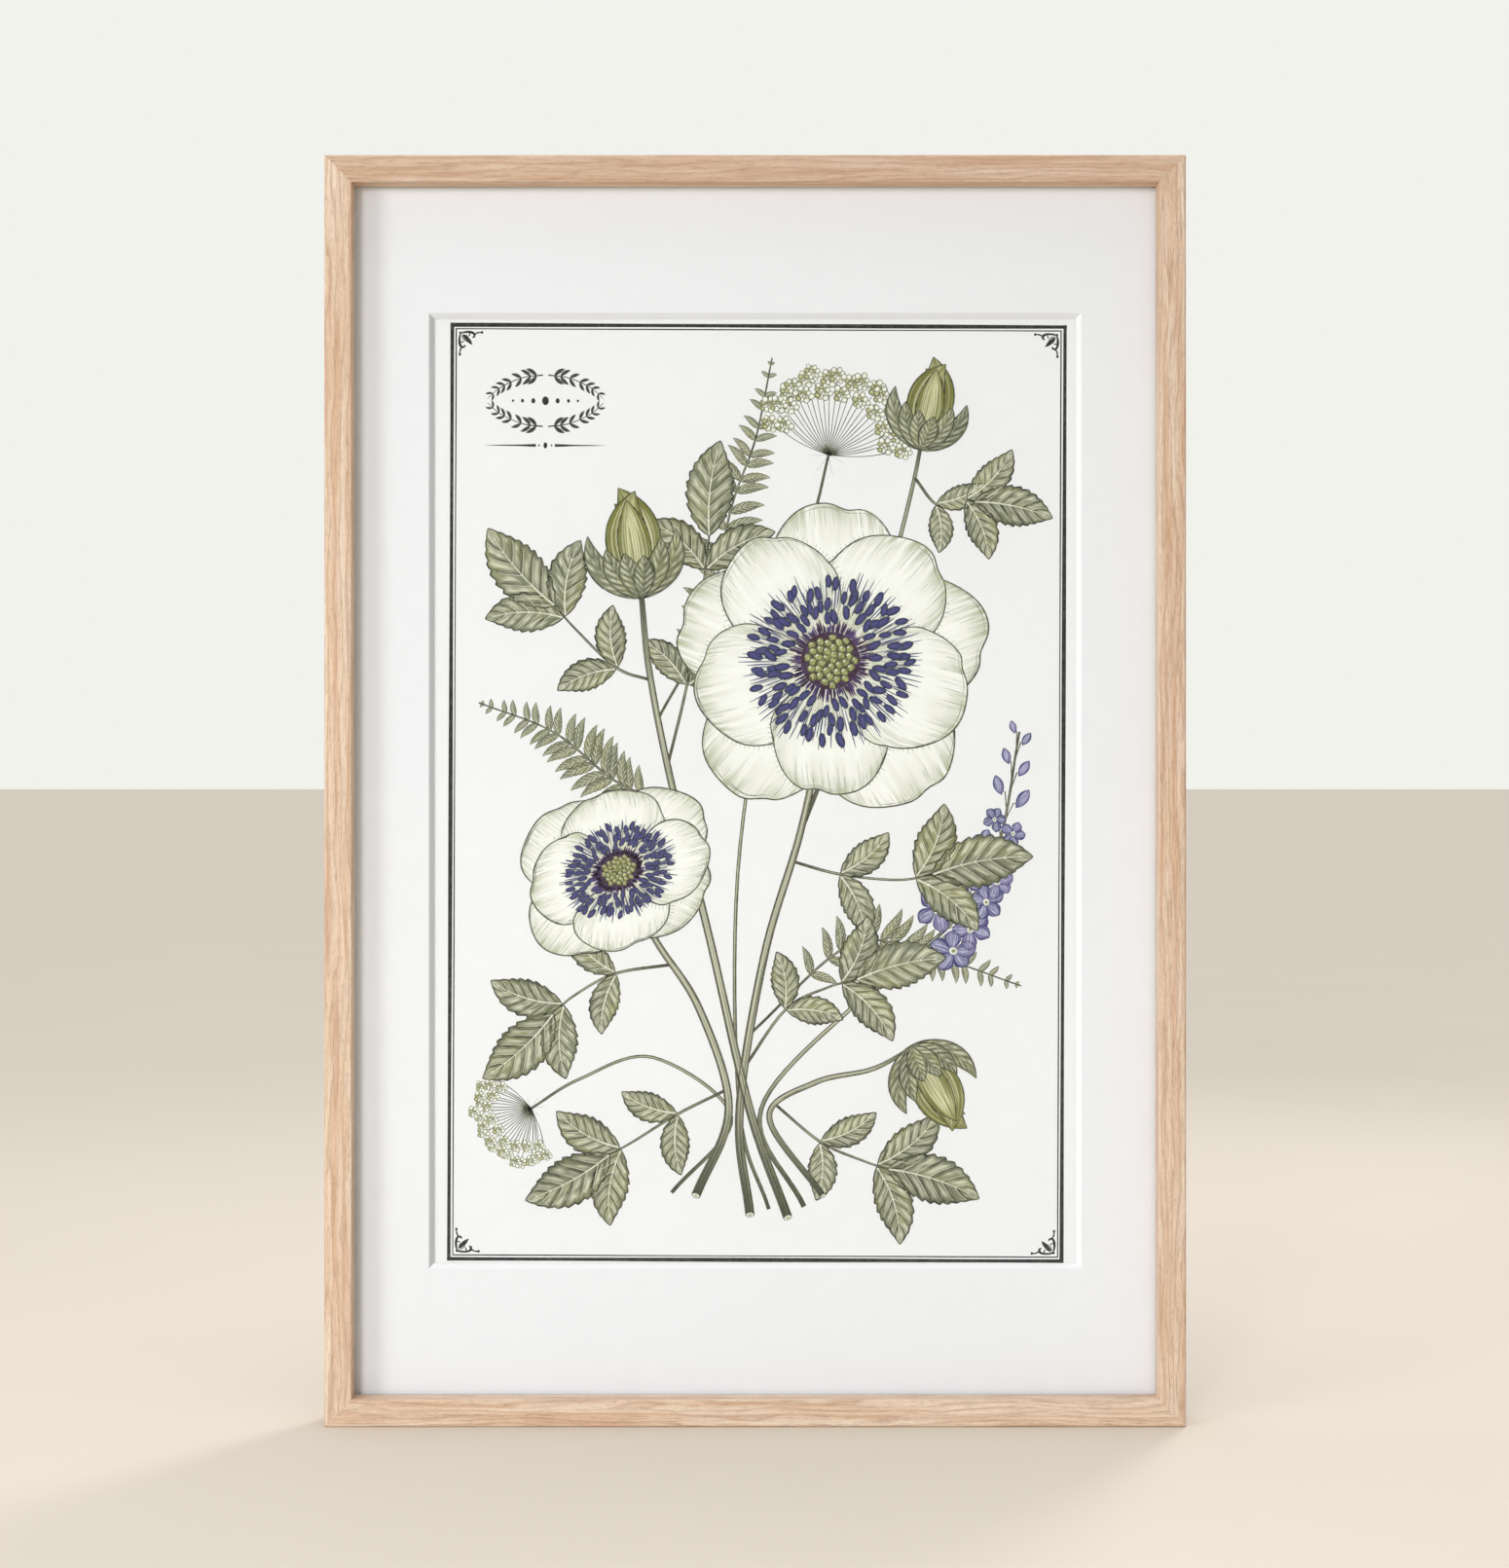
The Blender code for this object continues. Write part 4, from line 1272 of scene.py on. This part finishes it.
def larkspur_flower(motif, at, size, angle, level):
    """A small flower of five pointed petals with a pale eye."""
    vary = motif.vary
    tone = vary(0, 1)
    for order, k in enumerate((0, 2, 4, 1, 3)):
        out = facing(angle + 2 * math.pi * k / 5 + vary(-0.1, 0.1))
        tip = at + out * size * vary(0.52, 0.62)
        where = leaf_map(at, tip, size * 0.42, vary(-0.1, 0.1), 0, 1.15)
        height = level + 0.14 * order
        shade = min(1, max(0, tone + vary(-0.3, 0.3)))
        motif.shape(10, 4, where, height, "larkspur", shade, 0.55, 0.06, "violet", 1, 0.1)
        for v in (-0.45, 0, 0.45):
            motif.stroke(where, v, 0.2, 0.8, 3, 0.4, height + 0.04, "violet", vary(0.4, 1))
    motif.dot(at, size * 0.22, size * 0.19, angle, level + 0.8, "petal")
    motif.dot(at, size * 0.09, size * 0.09, angle, level + 0.9, "heart")


def larkspur(motif, points):
    """A larkspur spike: open flowers low on the stalk, closed buds at its tip."""
    steps, flowers, first = 60, 18, 0.56  # first is how far up the stalk the flowers start
    vary = motif.vary
    path, sides = stem(motif, points, STALKS_BEHIND, 3.4, 1.2, steps)
    for k in range(flowers):
        share = k / (flowers - 1)
        i = round((first + (1 - first) * share**0.9) * steps)
        side = 1 if k % 2 else -1
        size = 29 * (1 - 0.7 * share)
        at = path[i] + sides[i] * (side * size * vary(0.42, 0.54))
        stalk = [path[max(0, i - 2)], (path[i] + at) / 2, at]
        motif.line(stalk, 0.9, STALKS_BEHIND + 0.7, "ink", 0.8, taper=0.2)
        level = LEAVES_BEHIND + 0.03 * k + (1.2 if k % 2 else 0)
        if share < 0.66:
            larkspur_flower(motif, at, size, vary(0, 6), level)
        else:
            way = (sides[i] * (0.5 * side) - left_of(sides[i])) * size
            where = leaf_map(at - way * 0.2, at + way * 0.8, size * 0.55, 0, 0, 0.9)
            motif.shape(8, 4, where, level, "larkspur", vary(0, 1), 0.5, 0.1, "violet", 1, 0.1)


def wild_carrot(motif, points, radius):
    """An umbel: fine rays, each ending in a small head of florets."""
    vary = motif.vary
    path, _ = stem(motif, points, STALKS_BEHIND, 2.4, 1.4, 40)
    top = path[-1]
    along = (path[-1] - path[-4]).normalized()
    rays = 27
    for i in range(rays):
        spread = math.radians(-80 + 160 * i / (rays - 1))
        way = Matrix.Rotation(spread, 2) @ along
        shorter = 0.78 if i % 3 == 1 else 1
        reach = radius * vary(0.92, 1.05) * (0.86 + 0.14 * math.cos(spread)) * shorter
        bend = along * (0.14 * reach * math.sin(abs(spread)))
        end = top + way * reach + bend * 0.8
        ray = smooth_path([top, (top + end) / 2 - bend * 0.35, end], 8)
        motif.line(ray, 0.62, STALKS_BEHIND + 0.8, "ink", 0.9, taper=0.2)
        for k in range(15):
            off = facing(k * GOLDEN_TURN) * radius * 0.026 * math.sqrt(k + 0.5) * vary(0.85, 1.1)
            tiny = end + off + way * radius * 0.04
            motif.line([end, tiny], 0.3, STALKS_BEHIND + 0.9, "ink", 0.6, taper=0)
            size = radius * 0.066 * vary(0.8, 1.15)
            level = LEAVES_BEHIND + 0.03 * k + 0.5 * (i % 3)
            motif.dot(tiny, size * 1.3, size * 1.15, k, level, "ink", vary(0.5, 0.8))
            motif.dot(tiny, size, size * 0.86, k, level + 0.015, "petal" if k % 3 else "bud")
    for i in range(6):
        way = Matrix.Rotation(math.radians(-150 + 60 * i), 2) @ along
        bract = [top, top + way * radius * 0.22 - along * radius * 0.05]
        motif.line(bract, 0.7, STALKS_BEHIND + 0.9, "ink", 0.9)


def border(motif):
    """The double rule, and a small leaf between two scrolled arms in each corner."""
    for half_x, half_z, width in ((226.6, 345.5, 2.8), (223.7, 342.6, 0.9)):
        for sx, sz in ((0, 1), (0, -1), (1, 0), (-1, 0)):
            middle = Vector((sx * half_x, sz * half_z))
            reach = Vector((abs(sz) * (half_x + width / 2), abs(sx) * (half_z + width / 2)))
            path = [middle + reach * (2 * u - 1) for u in even(60)]
            motif.line(path, width, 0.5 if sz else 0.75, "black", 1, taper=0)
    arms = (  # points, steps, width, taper
        (((0, 0.2), (3.5, -0.6), (7.5, -0.6), (10.2, 0.7), (10.2, 2.8), (8.8, 3.3)), 20, 1.7, 0.45),
        (((1.2, 0.9), (4.6, 2.0), (6.4, 4.2)), 10, 0.6, 0.8),
        (((10.3, 1.4), (12.6, -0.1), (15.2, -0.5)), 10, 1.1, 0.2),
        (((6.9, 0), (6.8, 1.2), (6.3, 2.4)), 2, 0.9, 0),
    )
    for sx, sz in ((-1, -1), (-1, 1), (1, -1), (1, 1)):

        def mapped(x, z):
            return Vector((sx * (220.6 - x), sz * (339.5 - z)))

        for way in (1, -1):  # along the rail, then with x and z swapped along the stile
            for points, steps, width, taper in arms:
                path = smooth_path([mapped(*point[::way]) for point in points], steps)
                motif.line(path, width, 0.55, "black", 1, taper)
            motif.dot(mapped(*(16.0, -0.4)[::way]), 2, 2, 0, 0.6, "black", 1)
        motif.dot(mapped(0, 0), 2, 2, 0, 0.6, "black", 1)
        motif.patch(10, 4, leaf_map(mapped(1.4, 1.4), mapped(8.9, 8.9), 3.2, 0.03), 0.6, "black", 1)


def ornament(motif):
    """Two facing pairs of leafy sprigs over a tapered rule, where a study like this carries its heading."""
    middle = Vector((-157.5, 289.5))
    foot = middle - Vector((0, 33))
    for side in (-1, 1):
        rule = [foot + Vector((side * (7 + 37 * u), 0)) for u in even(12)]
        motif.line(rule, 0.2, 0.5, "black", 1, root=1.9)
        motif.dot(foot + Vector((side * 4.6, 0)), 1.4, 1.4, 0, 0.5, "black", 1)
        for upward in (-1, 1):
            run = ((2, 19), (17, 17), (33, 10), (43, 1.5))
            sprig = smooth_path([middle + Vector((side * x, upward * z)) for x, z in run], 20)
            motif.line(sprig, 0.4, 0.5, "black", 1, root=1)
            sides = sides_of(sprig)
            for k in range(7):
                i = 2 + round(k * 2.5)
                for over in (-1, 1):
                    way = sides[i] * over * 0.75 - left_of(sides[i])
                    where = leaf_map(sprig[i], sprig[i] + way * (7.6 - 0.5 * k), 3 - 0.2 * k, 0.08 * over)
                    motif.patch(8, 2, where, 0.6, "black", 0.9)
        for x, size in ((9, 3), (17, 2.2), (24, 1.6)):
            motif.dot(middle + Vector((side * x, 0)), size * 1.3, size, math.pi / 2, 0.7, "black", 1, 4)
    motif.dot(middle, 6.5, 5, math.pi / 2, 0.7, "black", 1, 4)
    motif.dot(foot, 4.6, 2.8, math.pi / 2, 0.5, "black", 1, 4)


# Each stalk's run, from its cut end or its fork to its flower
RUNS = {
    "large": [(-4, -312), (-12, -236), (6, -120), (32, -30), (46, 40), (54, 98)],
    "small": [(-44, -298), (-20, -234), (-42, -160), (-74, -110), (-102, -58)],
    "left_bud": [(24, -314), (-4, -236), (-34, -110), (-64, 10), (-80, 90), (-86, 146)],
    "right_bud": [(50, -298), (10, -240), (44, -214), (86, -204), (116, -188)],
    "top_bud": [(32, -30), (74, 80), (100, 170), (114, 226), (120, 256)],
}


def from_stalk(name, share, *points):
    """A run that starts on a stalk, a share of the way up it."""
    return [smooth_path(RUNS[name], 100)[round(share * 100)], *points]


def stalks(motif):
    """The stalks, with their pale cut ends."""
    for k, (name, run) in enumerate(RUNS.items()):
        if name == "top_bud":
            stem(motif, run, STALKS_BEHIND, 3.0, 2.4)
            continue
        width = 4.4 if name == "right_bud" else 6.4
        path, _ = stem(motif, run, STALKS + 0.25 * k, width, width * 0.58, 48)
        cut = path[1] - path[0]
        rings = ((1.04, 1.8, "ink", 1), (0.86, 1.9, "petal", 0.8), (0.42, 2, "bud", 0.8))
        for size, lift, finish, tone in rings:
            wide, way = width * size, math.atan2(cut.y, cut.x)
            motif.dot(path[0], wide * 0.55, wide, way, STALKS + lift, finish, tone, 4)


class FRAMEDPRINT_OT_border(Operator):
    """Print the double ruled border, its corner leaves and the small ornament in the upper left"""

    bl_idname = "framed_print.border"
    bl_label = "Border and Ornament"

    def execute(self, context):
        printed_finishes()
        print_motifs({"border": (3, border), "ornament": (4, ornament)})
        return {"FINISHED"}


class FRAMEDPRINT_OT_stalks(Operator):
    """Print the stalks, from their cut ends up to the flowers"""

    bl_idname = "framed_print.stalks"
    bl_label = "Stalks"

    def execute(self, context):
        print_motifs({"stalks": (11, stalks)})
        return {"FINISHED"}


class FRAMEDPRINT_OT_fillers(Operator):
    """Print the larkspur spike and the wild carrot"""

    bl_idname = "framed_print.fillers"
    bl_label = "Larkspur and Wild Carrot"

    def execute(self, context):
        spike = [(36, -306), (4, -234), (80, -150), (144, -96), (178, -40), (194, 46)]
        top = [(10, -308), (-12, -234), (-14, -60), (10, 100), (40, 200), (52, 250)]
        left = [(-62, -296), (-18, -240), (-76, -196), (-130, -212), (-166, -234)]
        print_motifs({
            "larkspur": (51, larkspur, spike),
            "carrot_top": (53, wild_carrot, top, 56),
            "carrot_left": (54, wild_carrot, left, 38),
        })
        return {"FINISHED"}


class FRAMEDPRINT_OT_leaves(Operator):
    """Print the feathered leaves and the ferns, each as a piece of its own"""

    bl_idname = "framed_print.leaves"
    bl_label = "Leaves"

    def execute(self, context):
        behind = LEAVES_BEHIND
        sprays = {
            "upper_left": (behind, 64, "left_bud", 0.78, (-104, 92), (-134, 120), (-150, 138)),
            "upper_middle": (behind, 60, "left_bud", 0.62, (-52, 80), (-42, 140), (-36, 190)),
            "left": (behind, 60, "small", 0.66, (-104, -134), (-134, -150), (-150, -164)),
            "right": (LEAVES, 64, "large", 0.55, (62, -60), (104, -64), (130, -60)),
            "lower_left": (LEAVES, 60, "small", 0.3, (-58, -238), (-90, -258), (-108, -268)),
            "lower_right": (LEAVES, 58, "large", 0.26, (22, -160), (52, -144), (74, -138)),
            "top_right": (behind, 50, "top_bud", 0.8, (132, 214), (148, 218), (160, 216)),
            "bottom_right": (behind, 60, "right_bud", 0.32, (48, -258), (80, -272), (98, -278)),
        }
        print_motifs({
            "leaf_" + name: (20 + k, spray, from_stalk(*run), level, size)
            for k, (name, (level, size, *run)) in enumerate(sprays.items())
        })
        fronds = {
            "left": ("left_bud", 0.56, (-104, 8), (-150, 44), (-206, 66)),
            "right": ("large", 0.3, (70, -112), (130, -120), (196, -142)),
            "top": ("left_bud", 0.7, (-40, 120), (-20, 210), (-2, 262), (10, 322)),
        }
        print_motifs({
            "fern_" + name: (60 + k, frond, from_stalk(*run)) for k, (name, run) in enumerate(fronds.items())
        })
        return {"FINISHED"}


class FRAMEDPRINT_OT_blossoms(Operator):
    """Print the anemones and the buds"""

    bl_idname = "framed_print.blossoms"
    bl_label = "Anemones and Buds"

    def execute(self, context):
        print_motifs({
            "anemone_large": (31, anemone, RUNS["large"][-1], 126, 0.2, 0.97, 0.1, 10),
            "anemone_small": (32, anemone, RUNS["small"][-1], 84, 0.5, 0.80, 0.45, 8),
            "left_bud": (60, bud, RUNS["left_bud"][-1], (-98, 226)),
            "top_bud": (85, bud, RUNS["top_bud"][-1], (134, 322)),
            "right_bud": (25, bud, RUNS["right_bud"][-1], (152, -250)),
        })
        return {"FINISHED"}


# --- Stage ---


class FRAMEDPRINT_OT_stage(Operator):
    """Set the floor, the lights and the camera"""

    bl_idname = "framed_print.stage"
    bl_label = "Stage"

    def execute(self, context):
        s = settings("stage")
        scene = context.scene
        bm = bmesh.new()
        bmesh.ops.create_grid(bm, x_segments=1, y_segments=1, size=200)
        floor = new_object("floor", bm)
        matt = {"Roughness": 1, "Specular_IOR_Level": 0}
        material = mottled("pale_floor", s.floor, times(s.floor, 0.96), (333.333, 4), **matt)
        floor.data.materials.append(material)

        scene.world = bpy.data.worlds.new("studio")
        scene.world.use_nodes = True
        tree = scene.world.node_tree
        lit, seen = tree.nodes["Background"], add(tree, "Background", s.air)
        feed(lit, s.daylight, s.air_strength)
        straight = add(tree, "LightPath", out="Is Camera Ray")
        feed(tree.nodes["World Output"], Surface=add(tree, "MixShader", straight, lit.outputs[0], seen))

        lamps = {  # name: (place, aim, size, spread in degrees, watts, colour, seen in the glazing)
            "key_softbox": ((-2.05, FRONT - 6, 1.3), (-0.25, 0, -0.1), 1.6, 60, s.key_power, "F7FAFF", False),
            "window_softbox": ((-4.7, FRONT - 3.7, 1.15), (0, 0, 0.3), 2, 70, 19, "F9FBFF", False),
            "back_softbox": ((1.6, 2.4, 1.9), (0, 0, MIDDLE), 1.2, 70, 7, "FFFFFF", True),
        }
        for name, (spot, aim, size, spread, watts, tint, mirrored) in lamps.items():
            data = bpy.data.lights.new(name, "AREA")
            data.shape = "DISK"
            data.size = size
            data.spread = math.radians(spread)
            data.energy = watts
            data.color = linear(tint)
            lamp = new_object(name, data)
            lamp.location = spot
            lamp.rotation_euler = (Vector(aim) - lamp.location).to_track_quat("-Z", "Y").to_euler()
            lamp.visible_glossy = mirrored
            lamp.visible_camera = False

        data = bpy.data.lights.new("top_light", "SUN")
        data.energy = s.top_strength
        data.angle = math.radians(50)
        new_object("top_light", data)

        data = bpy.data.cameras.new("camera")
        view_height = 1.1454  # metres of the frame's front plane that the view takes in
        data.sensor_width = 36
        data.lens = data.sensor_width * s.distance / view_height
        data.clip_start = 0.01
        scene.camera = new_object("camera", data)
        scene.camera.location = (-0.5 * MM, FRONT - s.distance, MIDDLE + 5 * MM)
        scene.camera.rotation_euler = (math.pi / 2, 0, 0)
        scene.view_settings.view_transform = "Standard"
        return {"FINISHED"}


class FRAMEDPRINT_PT_panel(Panel):
    """Lists the pieces of the framed print and their settings"""

    bl_idname = "FRAMEDPRINT_PT_panel"
    bl_label = "Framed Print"
    bl_space_type = "VIEW_3D"
    bl_region_type = "UI"
    bl_category = "Framed Print"

    def draw(self, context):
        for group, cls in GROUPS.items():
            box = self.layout.box()
            for name in cls.__annotations__:
                box.prop(settings(group), name)
        for operator in OPERATORS:
            self.layout.operator(operator.bl_idname)


GROUPS = {
    "frame": FrameSettings,
    "mat": MatSettings,
    "ink": InkSettings,
    "fittings": FittingSettings,
    "stage": StageSettings,
}
OPERATORS = (
    FRAMEDPRINT_OT_moulding,
    FRAMEDPRINT_OT_corner_nails,
    FRAMEDPRINT_OT_boards,
    FRAMEDPRINT_OT_turn_buttons,
    FRAMEDPRINT_OT_screws,
    FRAMEDPRINT_OT_hangers,
    FRAMEDPRINT_OT_bumpers,
    FRAMEDPRINT_OT_border,
    FRAMEDPRINT_OT_stalks,
    FRAMEDPRINT_OT_fillers,
    FRAMEDPRINT_OT_leaves,
    FRAMEDPRINT_OT_blossoms,
    FRAMEDPRINT_OT_stage,
)


def register():
    for cls in (*GROUPS.values(), *OPERATORS, FRAMEDPRINT_PT_panel):
        bpy.utils.register_class(cls)
    for name, cls in GROUPS.items():
        setattr(bpy.types.Scene, "framed_print_" + name, PointerProperty(type=cls))


def unregister():
    for name in GROUPS:
        delattr(bpy.types.Scene, "framed_print_" + name)
    for cls in (FRAMEDPRINT_PT_panel, *reversed(OPERATORS), *reversed(GROUPS.values())):
        bpy.utils.unregister_class(cls)


def main():
    register()
    for operator in OPERATORS:
        group, name = operator.bl_idname.split(".")
        getattr(getattr(bpy.ops, group), name)()


if __name__ == "__main__":
    main()
